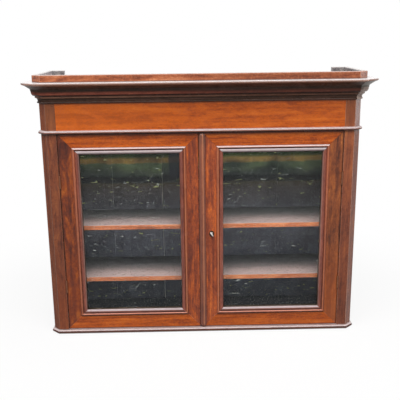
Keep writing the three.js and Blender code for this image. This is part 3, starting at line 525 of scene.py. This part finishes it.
def old_boards(name, seed, blotch=None):
    """Unpolished backing: blotched tones by height, which are painted reflection and painted
    shade, fine pale specks, short pale scuffs and a painted shadow high up between two places
    along x."""
    g = Graph(name)
    x, _, height = g.split(g.coords)
    streak = grain_layer(g, grain_vector(g, "z", seed, 0.02), *BACKING_STREAK)
    cloud = g.noise(g.shifted(g.coords, (seed * 0.13, 4, 2)), scale=14.0, detail=3.0, rough=0.6)
    drift = g.times(g.minus(cloud, 0.5), 0.02)
    stops = [(z / BACK_HEIGHT, colour) for z, colour in BACK_TONES]
    colour = g.ramp(g.math("DIVIDE", g.plus(height, drift), BACK_HEIGHT), stops)
    shade = g.times(g.span(streak, 0.3, 0.7, 0.88, 1.12, straight=True),
                    g.span(cloud, 0.3, 0.7, 0.75, 1.2))
    colour = g.blend(1.0, colour, g.join(shade, shade, shade), "MULTIPLY")
    head = g.span(height, *HEAD_Z)
    patch = g.noise(g.shifted(g.coords, (seed * 0.05, 8, 3), (1, 1, 1.6)), scale=5.5, warp=0.4)
    patch = g.blend(head, (1.0, 1.0, 1.0), g.ramp(patch, PATCH_TONES))
    colour = g.blend(1.0, colour, patch, "MULTIPLY")
    # A painted shadow high up between the two places along x
    if blotch:
        start, end = blotch
        along = g.plus(x, g.times(drift, 0.5))
        inside = g.times(g.span(along, start, start + SHADOW_EDGE),
                         g.span(along, end, end - SHADOW_EDGE))
        colour = g.blend(g.times(g.times(inside, head), SHADOW_SHARE), colour, SHADOW_COLOUR)
    motes = g.span(g.cells(g.shifted(g.coords, (seed, 2, 5)), 90.0), 0.17, 0.11)
    colour = g.blend(g.times(motes, g.span(height, *SPECKLED_Z, 0.4, 0.1)), colour, MOTE)
    fine = g.noise(g.shifted(g.coords, (seed, 5, 3)), scale=190.0, rough=0.6)
    colour = g.blend(g.span(fine, 0.34, 0.48, 0.25, 0.0), colour, GRIT)
    pale = g.times(g.span(fine, 0.60, 0.68), g.span(height, *SPECKLED_Z, 0.15, 0.04))
    colour = g.blend(pale, colour, MOTE)
    scuffs = g.noise(g.shifted(g.coords, (seed, 3, 1), (26, 26, 110)), rough=0.55, warp=0.9)
    band = g.times(g.span(height, *SCUFFED_Z), g.span(height, *UNSCUFFED_Z))
    scuffs = g.plus(scuffs, g.times(band, SCUFF_LIFT))
    colour = g.blend(g.span(scuffs, *SCUFF_EDGE), colour, SCUFF)
    return g.finish(g.shader(
        Base_Color=colour, Roughness=g.span(cloud, 0.3, 0.7, 0.55, 0.75), Specular_IOR_Level=0.15,
        Normal=g.bump(streak, distance=0.0004, strength=0.4),
    ))


# Dressed meshes: each is the solid's own mesh with its flat faces joined again, its arrises
# eased and its mouldings smooth

MERGE = 1e-5
FLAT_UNDER = 0.4          # degrees: faces that meet at less are joined
SOFT_UNDER = 48           # degrees: edges that turn less are shaded soft
USUAL_EASE, FINE_EASE, WIDE_EASE = 0.0007, 0.0003, 0.0012
SHARP, BLUNT = 50, 30     # degrees: edges that turn more are eased
LONG = 0.006              # and as a rule only those over this length
EASE_STEPS = 2
FACE_WEIGHT = 80


def add_piece(name, bm, materials):
    for face in bm.faces:
        face.smooth = True
    mesh = bpy.data.meshes.new(name)
    bm.to_mesh(mesh)
    bm.free()
    for material in materials:
        mesh.materials.append(material)
    piece = bpy.data.objects.new(name, mesh)
    scene.collection.objects.link(piece)
    weigh = piece.modifiers.new("normals", "WEIGHTED_NORMAL")
    weigh.keep_sharp = True
    weigh.weight = FACE_WEIGHT
    return piece


def dress(node, body, materials, pick=None, ease=USUAL_EASE, ease_over=SHARP, longer=LONG,
          worn_and_lit=-1):
    """Lays a finished mesh over a node. pick gives each face the place of its material. Edges
    longer than longer that turn more than ease_over are eased, in the material of the last
    argument, painted pale as wear and as a painted highlight where one is given."""
    bm = bmesh.new()
    bm.from_mesh(nodes[node].data)
    bmesh.ops.remove_doubles(bm, verts=bm.verts, dist=MERGE)
    bmesh.ops.dissolve_limit(bm, angle_limit=math.radians(FLAT_UNDER), verts=bm.verts,
                             edges=bm.edges)
    if pick:
        for face in bm.faces:
            face.material_index = pick(face.calc_center_median(), face.normal)
    if ease > 0:
        edges = [
            e for e in bm.edges
            if e.is_manifold and math.degrees(e.calc_face_angle(0)) > ease_over
            and e.calc_length() > longer
        ]
        bmesh.ops.bevel(bm, geom=edges, offset=ease, offset_type="OFFSET", segments=EASE_STEPS,
                        profile=0.5, affect="EDGES", clamp_overlap=True, material=worn_and_lit)
    for edge in bm.edges:
        if edge.is_manifold and math.degrees(edge.calc_face_angle(0)) > SOFT_UNDER:
            edge.smooth = False
    piece = add_piece(node + "_finish", bm, materials)
    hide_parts(node)
    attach(piece, body)


def dress_wood(node, tone, axis, seed, body="case", ease=USUAL_EASE, **looks):
    dress(node, body, [wood(node, tone, axis, seed, **looks)], ease=ease)


def block(name, low, high, ease, material, body):
    """A small piece with eased edges between two corners."""
    bm = bmesh.new()
    bmesh.ops.create_cube(bm, size=1.0)
    for v in bm.verts:
        v.co = [a + (b - a) * (c + 0.5) for a, b, c in zip(low, high, v.co)]
    bmesh.ops.bevel(bm, geom=list(bm.edges), offset=ease, segments=EASE_STEPS, profile=0.5,
                    affect="EDGES", clamp_overlap=True)
    piece = add_piece(name, bm, [material])
    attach(piece, body)


# Case

FACING = 0.5              # a face looks along an axis if its normal has more of it than this
LEANING = 0.3             # and it is canted if its normal has more than this of two axes


def heights(node):
    low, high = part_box(node)
    return low[2], high[2]


# Posts: where their colour changes, from the first height to the second
WARM_POLISH = (0.42, 0.13, 0.05)
POST_HEAD_Z, POST_WAIST_Z, POST_FOOT_Z = (0.5, 0.92), (0.80, 0.84), (0.40, 0.05)
WAIST_SHARE, FOOT_SHARE = 0.3, 0.25


def canted(normal):
    return abs(normal.x) > LEANING and abs(normal.y) > LEANING and abs(normal.z) < FACING


def post_ramps(warmth, above, below):
    """Warmer polish toward the posts' head, and their colour over the waist and near the foot."""
    return [("z", *POST_HEAD_Z, warmth, WARM_POLISH), ("z", *POST_WAIST_Z, WAIST_SHARE, above),
            ("z", *POST_FOOT_Z, FOOT_SHARE, below)]


POST_FRONT = {
    "left": dict(level=0.89, figure=0.46,
                 ramps=post_ramps(0.02, (0.40, 0.13, 0.035), (0.40, 0.075, 0.012))),
    "right": dict(level=1.14, figure=0.32,
                  ramps=post_ramps(0.34, (0.12, 0.030, 0.008), (0.12, 0.024, 0.007))),
}
POST_CANT = {
    "left": dict(level=0.99, gloss=0.0, specular=0.08),
    "right": dict(level=0.96, gloss=0.4, specular=0.16),
}
# The eased arris of the posts is painted pale, as wear and as a painted highlight, at these levels
POST_ARRIS_LEVEL = {"left": 0.7, "right": 1.4}


def dress_post(side, seed):
    materials = [
        wood(f"post_{side}", "post", "z", 10 + seed, streak=95.0, calm=0.8, gloss=0.12,
             **POST_FRONT[side]),
        wood(f"post_cant_{side}", "post", "z", 14 + seed, figure=0.35, streak=95.0,
             **POST_CANT[side]),
        wood(f"post_arris_{side}", "lip", "z", 18 + seed, level=POST_ARRIS_LEVEL[side], gloss=0.3),
    ]
    dress(f"corner_post_{side}", "case", materials, ease=WIDE_EASE, ease_over=BLUNT,
          pick=lambda centre, normal: 1 if canted(normal) else 0, worn_and_lit=2)


BASE_TOP = heights("base_front")[1]
LEDGE_Z = BASE_TOP - 0.0017


def dress_base(run, axis, seed):
    # The base bead is dark on its front as painted shade, with painted highlights on its top and
    # ledge and a painted reflection under it
    materials = [
        wood(f"base_{run}", "bead", axis, 30 + seed, level=0.3, figure=0.35, gloss=0.3,
             tops=NOSE_TOP, unders=UNDER_REFLECTION),
        wood(f"ledge_{run}", "bead", axis, 34 + seed, level=0.4, figure=0.35, gloss=0.4,
             tops=LEDGE_TOP),
    ]
    dress(f"base_{run}", "case", materials,
          pick=lambda centre, normal: 1 if centre.z > LEDGE_Z else 0)


# Cornice: heights of the lip, its neck, the ovolo, the fillet under it and the lowest bead
CORNICE_FOOT, CORNICE_TOP = heights("cornice_front")
LIP_Z = CORNICE_TOP - 0.0080
NECK_Z = CORNICE_TOP - 0.0118
OVOLO_Z = (CORNICE_FOOT + 0.0262, CORNICE_FOOT + 0.0438)
FILLET_Z = (CORNICE_FOOT + 0.0200, CORNICE_FOOT + 0.0261)
BEAD_Z = CORNICE_FOOT + 0.0085
# The ovolo's darker right half, painted shade at its head, and painted shade in the hollow under it
AWAY = ("x", -0.5, 0.3, 0.66, (0.03, 0.014, 0.009))
BROW = ("z", CORNICE_FOOT + 0.0345, CORNICE_FOOT + 0.0430, 0.5, (0.04, 0.018, 0.012))
QUIRK_SHADE = ("z", CORNICE_FOOT + 0.0328, CORNICE_FOOT + 0.0306, 0.92, (0.016, 0.007, 0.005))
NECK_SHADE = [("x", -0.5, 0.3, 0.45, AWAY[4]), ("z", NECK_Z, FILLET_Z[1], 0.15, AWAY[4])]
CANT_LEAN, LEAST_LEAN = 0.4, 0.01
# Painted shade on the right cant's upper band, under the lip
CANT_UNDER_LIP_SHADE = ("z", CORNICE_FOOT + 0.0440, CORNICE_FOOT + 0.0480, 1.0, (0.27, 0.235, 0.20))


def on_right_cant(normal):
    lean = CANT_LEAN * normal.xy.length
    return lean > LEAST_LEAN and normal.x > lean and normal.y < -lean


def cornice_part(centre, normal):
    """0 plain, 1 lip, 2 ovolo, 3 lowest bead, 4 neck and fillet, 5 the cant at the right."""
    z = centre.z
    if z > LIP_Z:
        return 1
    if on_right_cant(normal):
        return 5
    if z > NECK_Z or FILLET_Z[0] < z < FILLET_Z[1]:
        return 4
    if OVOLO_Z[0] < z < OVOLO_Z[1]:
        return 2
    return 3 if z < BEAD_Z else 0


def dress_cornice(run, axis, seed):
    # The cornice tone, on the plain faces and the lowest bead, is dark as painted shade of the
    # coves and the underside
    materials = [
        wood(f"cornice_{run}", "cornice", axis, 50 + seed, level=1.35, figure=0.35, gloss=0.03,
             specular=0.1),
        wood(f"cornice_lip_{run}", "lip", axis, 54 + seed, level=1.1, figure=0.35, gloss=0.2,
             tops=LIP_TOP),
        wood(f"cornice_ovolo_{run}", "ovolo", axis, 57 + seed, level=1.95, figure=0.35,
             gloss=0.06, specular=0.12, ramps=[BROW, QUIRK_SHADE, AWAY]),
        wood(f"cornice_bead_{run}", "cornice", axis, 70 + seed, level=1.15, figure=0.35,
             gloss=0.08, specular=0.15),
        wood(f"cornice_neck_{run}", "lip", axis, 74 + seed, level=1.2, figure=0.35, gloss=0.03,
             specular=0.12, ramps=NECK_SHADE),
        # The right cant is painted pale, as light falling on it from that side
        wood(f"cornice_cant_{run}", "pale_lit", axis, 77 + seed, level=1.9, figure=0.35, gloss=0.05,
             ramps=[CANT_UNDER_LIP_SHADE]),
    ]
    dress(f"cornice_{run}", "case", materials, pick=cornice_part, ease=0.0004)


# Gallery: painted shade at its foot, warm polish high on its arris, a painted highlight on the
# arris top, and its darker right half
GALLERY_FOOT, GALLERY_TOP = heights("gallery_front")
FOOT_SHADE = ("z", GALLERY_FOOT + 0.0042, GALLERY_FOOT + 0.0012, 0.7, (0.12, 0.065, 0.05))
ARRIS_POLISH = ("z", GALLERY_TOP - 0.0035, GALLERY_TOP - 0.0015, 1.0, (0.40, 0.115, 0.046))
GALLERY_AWAY = ("x", -0.35, 0.25, 0.38, (0.12, 0.035, 0.018))
ARRIS_TOP = (1.0, (0.47, 0.39, 0.36), 0.5, 0.85)
GALLERY_BACK_Y = 0.1      # the ends of its returns lie behind this
GALLERY_END_LEVEL = {"front": 1.25, "left": 1.0, "right": 1.05}
GALLERY_INSIDE_LEVEL = {"front": 1.5, "left": 3.3, "right": 1.5}


def gallery_part(centre, normal):
    """0 outside, 2 on the ends at the back and 3 on the inner faces of the returns."""
    if centre.y > GALLERY_BACK_Y and normal.y < -FACING:
        return 2
    return 3 if centre.x * normal.x < 0 and abs(normal.x) > FACING else 0


def dress_gallery(run, axis, seed):
    at_front = run == "front"
    materials = [
        wood(f"gallery_{run}", "gallery", axis, 60 + seed, level=0.91, figure=0.4, calm=0.7,
             gloss=0.12, mottle=0.3, tops=DULL_TOP if at_front else RETURN_TOP,
             ramps=[GALLERY_AWAY, FOOT_SHADE]),
        wood(f"gallery_arris_{run}", "lip" if at_front else "slate", axis, 64 + seed, level=1.5,
             gloss=0.2, tops=ARRIS_TOP,
             ramps=[ARRIS_POLISH, FOOT_SHADE] if at_front else [FOOT_SHADE]),
        wood(f"gallery_back_{run}", "slate", axis, 67 + seed, level=GALLERY_END_LEVEL[run],
             gloss=0.05, tops=RETURN_TOP, mottle=0.6),
        wood(f"gallery_inside_{run}", "slate", axis, 92 + seed, level=GALLERY_INSIDE_LEVEL[run],
             gloss=0.05, mottle=0.25),
    ]
    dress(f"gallery_{run}", "case", materials, pick=gallery_part, ease=WIDE_EASE, ease_over=BLUNT,
          worn_and_lit=1)


for seed, side in enumerate(SIDES, 1):
    dress_post(side, seed)
    dress_wood(f"case_side_{side}", "post", "z", 20 + seed, figure=0.45, warp=0.05)
for seed, run in enumerate(("front", "left", "right")):
    axis = "x" if run == "front" else "y"
    dress_base(run, axis, seed)
    dress_wood(f"waist_bead_{run}", "bead", axis, 40 + seed, level=0.7, figure=0.35, gloss=0.5,
               tops=WHITE_TOP, unders=UNDER_SHADE)
    dress_cornice(run, axis, seed)
    dress_gallery(run, axis, seed)

# Boards: the frieze glows at the left and is darker under the cornice
FRIEZE_GLOW = ("x", 0.1, -0.5, 0.32, (0.85, 0.18, 0.012))
FRIEZE_SHADE = ("z", CORNICE_FOOT - 0.0090, CORNICE_FOOT - 0.0005, 0.3, (0.08, 0.025, 0.012))
dress_wood("frieze_board", "orange", "x", 3, figure=0.4, warp=0.02, level=1.12, streak=60.0,
           calm=1.1, ramps=[FRIEZE_GLOW, FRIEZE_SHADE])
dress_wood("cover_board", "gallery", "x", 8, figure=0.4, tops=DULL_TOP, gloss=0.1)
# The bottom board's near-black blue is painted shade, with a painted cool reflection
dress_wood("bottom_board", "shaded_blue", "x", 71, figure=0.3, gloss=0.0, rough=0.5, specular=0.1,
           mottle=0.75)
dress_wood("top_board", "inside", "x", 72, figure=0.3, gloss=0.05, rough=0.45)

# Shelves: their tops painted lighter toward the front, as dust and as painted light, with painted
# shade toward the back, and a rubbed front edge
SHELF_LIGHT_AND_DUST = [("y", 0.15, 0.05, 0.8, (0.16, 0.14, 0.145)),
              ("y", 0.085, -0.06, 0.88, (0.46, 0.308, 0.296))]
for n, (shelf, edge_level) in enumerate((("lower", 0.9), ("upper", 1.07))):
    dress(f"shelf_{shelf}", "case", [
        wood(f"shelf_{shelf}", "slate", "x", 80 + n, level=0.45, figure=0.3, gloss=0.05,
             rough=0.4, ramps=SHELF_LIGHT_AND_DUST, mottle=0.85),
        wood(f"shelf_edge_{shelf}", "edge", "x", 84 + n, level=edge_level, figure=0.35,
             rough=0.32),
    ], pick=lambda centre, normal: 1 if normal.y < -FACING else 0, ease=WIDE_EASE)
    for side in SIDES:
        dress_wood(f"shelf_bearer_{shelf}_{side}", "inside", "y", 88 + n, figure=0.3, rough=0.5)

# Back boards: deal outside, and the third one with a painted shadow inside
BACK_BOARDS = range(1, 6)
BOARD_LEVELS = (1.7, 1.85, 2.0)
SHADOWED_BOARD = 3
SHADOW_X = (-0.136, -0.02)
for n in BACK_BOARDS:
    dress(f"back_board_{n}", "case", [
        wood(f"back_board_{n}", "deal", "z", 110 + n, level=BOARD_LEVELS[n % 3], figure=0.45,
             gloss=0.0, rough=0.6, streak=55.0, specular=0.15),
        old_boards(f"back_board_inside_{n}", 100 + n, SHADOW_X if n == SHADOWED_BOARD else None),
    ], pick=lambda centre, normal: 0 if normal.y > FACING else 1, ease=FINE_EASE)

# The strip that closes an open joint between two boards, painted pale as light seen through the
# joint, with painted shade high up
OPEN_JOINT = 0.0015
STRIP_CLEAR = 0.0002
STRIP_SETBACK = 0.0012
STRIP_SHADE = ("z", 0.47, 0.56, 0.85, (0.12, 0.12, 0.10))
boards = sorted((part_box(f"back_board_{n}") for n in BACK_BOARDS), key=lambda b: b[0][0])
for n, ((low, high), (next_low, _)) in enumerate(zip(boards, boards[1:]), 1):
    if next_low[0] - high[0] > OPEN_JOINT:
        pale = wood(f"joint_strip_{n}", "tan", "z", 120 + n, level=6.0, figure=0.3, gloss=0.0,
                    rough=0.6, calm=0.8, ramps=[STRIP_SHADE])
        block(f"joint_strip_{n}",
              (high[0] + STRIP_CLEAR, low[1] + STRIP_SETBACK, low[2] + STRIP_CLEAR),
              (next_low[0] - STRIP_CLEAR, high[1] - STRIP_CLEAR, high[2] - STRIP_CLEAR),
              FINE_EASE, pale, "case")


# Doors

MOULD = 0.027             # width of the double bead moulding
QUIRK_SHARE = 0.425       # where the quirk between its beads lies
OUTER_QUIRKS = ("meeting_stile", "top_rail")   # here the quirk is as bright as the outer bead
MOULD_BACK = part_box("right_door_top_rail")[0][1] + 0.012
MATCH = 0.0001
SIGHT_X = (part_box("right_door_meeting_stile")[1][0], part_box("right_door_hinge_stile")[0][0])
SIGHT_Z = (heights("right_door_bottom_rail")[1], heights("right_door_top_rail")[0])
DOOR_FOOT, DOOR_TOP = heights("right_door_meeting_stile")
DOOR_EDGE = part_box("right_door_hinge_stile")[1][0]


def moulded(member):
    """Sorts a door member's faces: 0 on the flat, 1 on the outer bead, 2 on the one by the
    glass and 3 inside the rebate behind it."""
    quirk = MOULD * (1 - QUIRK_SHARE) + (-MATCH if member in OUTER_QUIRKS else MATCH)

    def part(centre, normal):
        x, z = abs(centre.x), centre.z
        reach = max(SIGHT_X[0] - x, x - SIGHT_X[1], SIGHT_Z[0] - z, z - SIGHT_Z[1])
        if reach > MOULD - MATCH:
            return 0
        if centre.y > MOULD_BACK:
            return 3 if abs(normal.y) < FACING else 0
        return 1 if reach > quirk else 2

    return part


MEMBERS = {
    # member: grain, seed, and tone, figure and level on the left and on the right door
    "hinge_stile": ("z", 200, ("stile", 0.68, 0.84), ("olive", 0.48, 1.08)),
    "meeting_stile": ("z", 210, ("stile", 0.4, 1.42), ("stile", 0.4, 1.58)),
    "top_rail": ("x", 220, ("orange", 0.3, 1.12), ("orange", 0.3, 1.12)),
    "bottom_rail": ("x", 230, ("orange", 0.3, 1.1), ("orange", 0.3, 1.02)),
}
# The painted highlights, with some wear, on the tops of the outer and the inner bead of the rails
BEAD_TOPS = {"top_rail": (RAIL_TOP, COOL_TOP), "bottom_rail": (WARM_TOP, SILL_TOP)}
INNER_UNDER_SHADE = (0.5, UNDER_SHADE[1])
OUTER_BEAD_LEVELS = (1.0, 1.1)
# The painted highlight on the crest of the outer bead: its place, and its share on the left and the
# right door
CRESTS = {"hinge_stile": (SIGHT_X[1] + 0.0210, 0.25, 0.45),
          "meeting_stile": (SIGHT_X[0] - 0.0196, 0.6, 0.75)}
CREST_HALF, CREST_HIGHLIGHT = 0.0026, (0.62, 0.215, 0.085)
# The painted highlight on the arris next to the glass
BY_GLASS = {"hinge_stile": SIGHT_X[1] + 0.0013, "meeting_stile": SIGHT_X[0] + 0.0018}
ARRIS_HALF, ARRIS_SHARE, ARRIS_HIGHLIGHT = 0.0035, 0.6, (0.34, 0.21, 0.18)
# Painted shade in the hollows of the rails' mouldings
HOLLOW_SHADES = {
    "top_rail": [("z", SIGHT_Z[1] + 0.0156, 0.0021, 0.9, (0.12, 0.028, 0.016))],
    "bottom_rail": [("z", SIGHT_Z[0] - 0.0263, 0.0024, 0.7, (0.11, 0.026, 0.014))],
}
# The shaded edges at the head and the foot of the doors
SHADED = [("z", DOOR_TOP - 0.007, DOOR_TOP - 0.001, 0.85, (0.05, 0.015, 0.008)),
          ("z", DOOR_FOOT + 0.0065, DOOR_FOOT + 0.0005, 0.45, (0.10, 0.03, 0.015))]
# Painted shade along the hinge stile's edge beside the post
HINGE_GAP_SHADE = (0.06, 0.018, 0.011)
NIGHT_POLISH = (0.10, 0.022, 0.01)
# Share and colour of the lower half and of the head of the hinge stiles, left and right
LOW_STILE = (0.22, (0.26, 0.036, 0.005)), (0.45, (0.50, 0.105, 0.014))
HIGH_STILE = (0.25, NIGHT_POLISH), (0.0, NIGHT_POLISH)
LOW_STILE_Z, HIGH_STILE_Z = (0.40, 0.15), (0.56, 0.68)


def stile_ramps(k, hand):
    """The shaded edge of a hinge stile beside the post, and its tones low down and high up."""
    return [("x", hand * (DOOR_EDGE - 0.0055), hand * (DOOR_EDGE - 0.0010), 0.6, HINGE_GAP_SHADE),
            ("z", *LOW_STILE_Z, *LOW_STILE[k]), ("z", *HIGH_STILE_Z, *HIGH_STILE[k])]


def dress_member(member, k):
    """One member of the left door (k is 0) or of the right one (k is 1)."""
    body = f"{SIDES[k]}_door"
    name = f"{body}_{member}"
    hand = 2 * k - 1
    axis, seed, *by_side = MEMBERS[member]
    tone, figure, level = by_side[k]
    outer_top, inner_top = BEAD_TOPS.get(member, (None, None))
    hollows = HOLLOW_SHADES.get(member, ())
    crest = arris = hollows
    if member in CRESTS:
        place, *shares = CRESTS[member]
        crest = [("x", hand * place, CREST_HALF, shares[k], CREST_HIGHLIGHT)]
        arris = [("x", hand * BY_GLASS[member], ARRIS_HALF, ARRIS_SHARE, ARRIS_HIGHLIGHT)]
    ramps = SHADED + (stile_ramps(k, hand) if member == "hinge_stile" else [])
    dress(name, body, [
        wood(name, tone, axis, seed + k, level=level, figure=figure, ramps=ramps, calm=0.85,
             lines=hollows),
        wood(name + "_outer_bead", "bead", axis, seed + 4 + k, figure=0.3, gloss=0.3, rough=0.18,
             tops=outer_top, unders=UNDER_SHADE, level=OUTER_BEAD_LEVELS[k], lines=crest),
        wood(name + "_inner_bead", "mauve", axis, seed + 7 + k, figure=0.3, gloss=0.3,
             rough=0.18, tops=inner_top, unders=INNER_UNDER_SHADE, level=1.5, lines=arris),
        wood(name + "_rebate", "inside", axis, seed + 9 + k, figure=0.3, gloss=0.0, rough=0.5,
             specular=0.1),
    ], pick=moulded(member), ease=0.0005, longer=0.02)


for k, side in enumerate(SIDES):
    for member in MEMBERS:
        dress_member(member, k)
    glass = nodes[f"{side}_door_glass"].data.materials
    glass.clear()
    glass.append(pane(f"{side}_glass", 300 + k))
    dress_wood(f"{side}_door_glazing_bead", "inside", "z", 240 + k, body=f"{side}_door",
               figure=0.3, rough=0.4)

# The cover bead: painted shade at both flanks, darker at the head, and a painted highlight on its
# crest
COVER_FLANK_SHADE = (0.17, 0.065, 0.042), (0.17, 0.060, 0.042)
COVER_RAMPS = [("x", 0.0025, -0.0045, 0.6, COVER_FLANK_SHADE[0]),
               ("x", 0.0075, 0.0115, 0.6, COVER_FLANK_SHADE[1]),
               ("z", 0.735, 0.780, 0.4, (0.10, 0.055, 0.042))]
COVER_CREST_HIGHLIGHT = ("x", 0.0058, 0.0030, 0.7, (0.60, 0.24, 0.12))
dress_wood("right_door_cover_bead", "bead", "z", 250, body="right_door", ease=0.0, level=0.85,
           figure=0.35, tops=DULL_TOP, gloss=0.3, ramps=COVER_RAMPS, lines=[COVER_CREST_HIGHLIGHT])


# Hardware

# The hinges are darkened as painted shade in the gap beside the post
HINGE_DARK, HINGE_METAL = 0.88, 0.3
DARKENED = {"lock_case": 0.4, "lock_bolt": 0.1, "top_bolt_plate": 0.4, "bottom_bolt_plate": 0.4,
            "top_bolt": 0.25, "bottom_bolt": 0.25, "escutcheon": 0.96}
for node in nodes:
    if node.startswith("hinge_"):
        metal = brass(node, len(node), HINGE_DARK, HINGE_POLISH_SHADE, HINGE_METAL)
        dress(node, body_of[node], [metal], ease=FINE_EASE, longer=0.001)
for node, dark in DARKENED.items():
    dress(node, body_of[node], [brass(node, len(node) + 3, dark)], ease=FINE_EASE, longer=0.0008)
dress("key", "key", [steel("key", 5)], ease=0.0005, longer=0.001)


# Floor, lamps and world

FLOOR_HALF, FLOOR_Z = 14.0, -0.0005
DULL, PALE = (0.22, 0.22, 0.22), (0.8, 0.8, 0.8)
CLEAN_REACH = (0.5, 1.7)  # the floor turns from nearly white to white between these distances
NEAR_SHARE = 0.86
# Colour and strength of the world, as it lights the object and as it is seen
WORLD_LIGHT = ((0.93, 0.97, 1.0, 1), 0.26)
WORLD_SEEN = ((1, 1, 1, 1), 1.0)


def seen_ray(tree):
    """1 for camera, glossy and transmission rays, 0 for the rays that light the object."""
    rays = tree.nodes.new("ShaderNodeLightPath").outputs
    first, second = (tree.nodes.new("ShaderNodeMath") for _ in range(2))
    for n in (first, second):
        n.operation = "MAXIMUM"
    tree.links.new(rays["Is Camera Ray"], first.inputs[0])
    tree.links.new(rays["Is Glossy Ray"], first.inputs[1])
    tree.links.new(first.outputs[0], second.inputs[0])
    tree.links.new(rays["Is Transmission Ray"], second.inputs[1])
    return second.outputs[0]


def floor_material():
    """Seen as white by the camera, and as a dull grey by the light that falls on the object."""
    g = Graph("floor")
    dull = g.shader(Base_Color=DULL, Roughness=1.0, Specular_IOR_Level=0.0)
    pale = g.shader(Base_Color=PALE, Roughness=1.0, Specular_IOR_Level=0.0)
    glow = g.tree.nodes.new("ShaderNodeEmission")
    distance = g.tree.nodes.new("ShaderNodeVectorMath")
    distance.operation = "LENGTH"
    g.put(distance.inputs[0], g.coords)
    white = g.span(distance.outputs["Value"], *CLEAN_REACH, NEAR_SHARE, 1.0)
    seen = mix_shaders(g.tree, white, pale, glow.outputs[0])
    return g.finish(mix_shaders(g.tree, seen_ray(g.tree), dull, seen))


def make_floor():
    bm = bmesh.new()
    bm.faces.new([bm.verts.new((x * FLOOR_HALF, y * FLOOR_HALF, FLOOR_Z))
                  for x, y in ((-1, -1), (1, -1), (1, 1), (-1, 1))])
    mesh = bpy.data.meshes.new("floor")
    bm.to_mesh(mesh)
    bm.free()
    mesh.materials.append(floor_material())
    floor = bpy.data.objects.new("floor", mesh)
    scene.collection.objects.link(floor)


def make_lamp(name, place, aim, size, radiance, colour):
    data = bpy.data.lights.new(name, "AREA")
    data.shape = "RECTANGLE"
    data.size, data.size_y = size
    data.energy = radiance * math.pi * size[0] * size[1]
    data.color = colour
    lamp = bpy.data.objects.new(name, data)
    place, aim = Vector(place), Vector(aim)
    lamp.rotation_mode = "QUATERNION"
    lamp.rotation_quaternion = (aim - place).to_track_quat("-Z", "Y")
    lamp.location = place
    scene.collection.objects.link(lamp)


def make_world():
    world = bpy.data.worlds.new("world")
    scene.world = world
    world.use_nodes = True
    tree = world.node_tree
    tree.nodes.clear()
    backs = []
    for colour, strength in (WORLD_LIGHT, WORLD_SEEN):
        back = tree.nodes.new("ShaderNodeBackground")
        back.inputs[0].default_value = colour
        back.inputs[1].default_value = strength
        backs.append(back.outputs[0])
    out = tree.nodes.new("ShaderNodeOutputWorld")
    tree.links.new(mix_shaders(tree, seen_ray(tree), *backs), out.inputs[0])


make_floor()
make_world()
make_lamp("sky", place=(-0.2, -1.7, 3.4), aim=(0, -0.1, 0.5), size=(4.6, 2.0), radiance=5.8,
          colour=(1.0, 0.985, 0.97))
make_lamp("open_side", place=(3.0, 0.25, 1.3), aim=(0.6, 0, 0.55), size=(1.4, 1.8),
          radiance=2.2, colour=(1.0, 0.99, 1.0))

scene.view_settings.view_transform = "Standard"
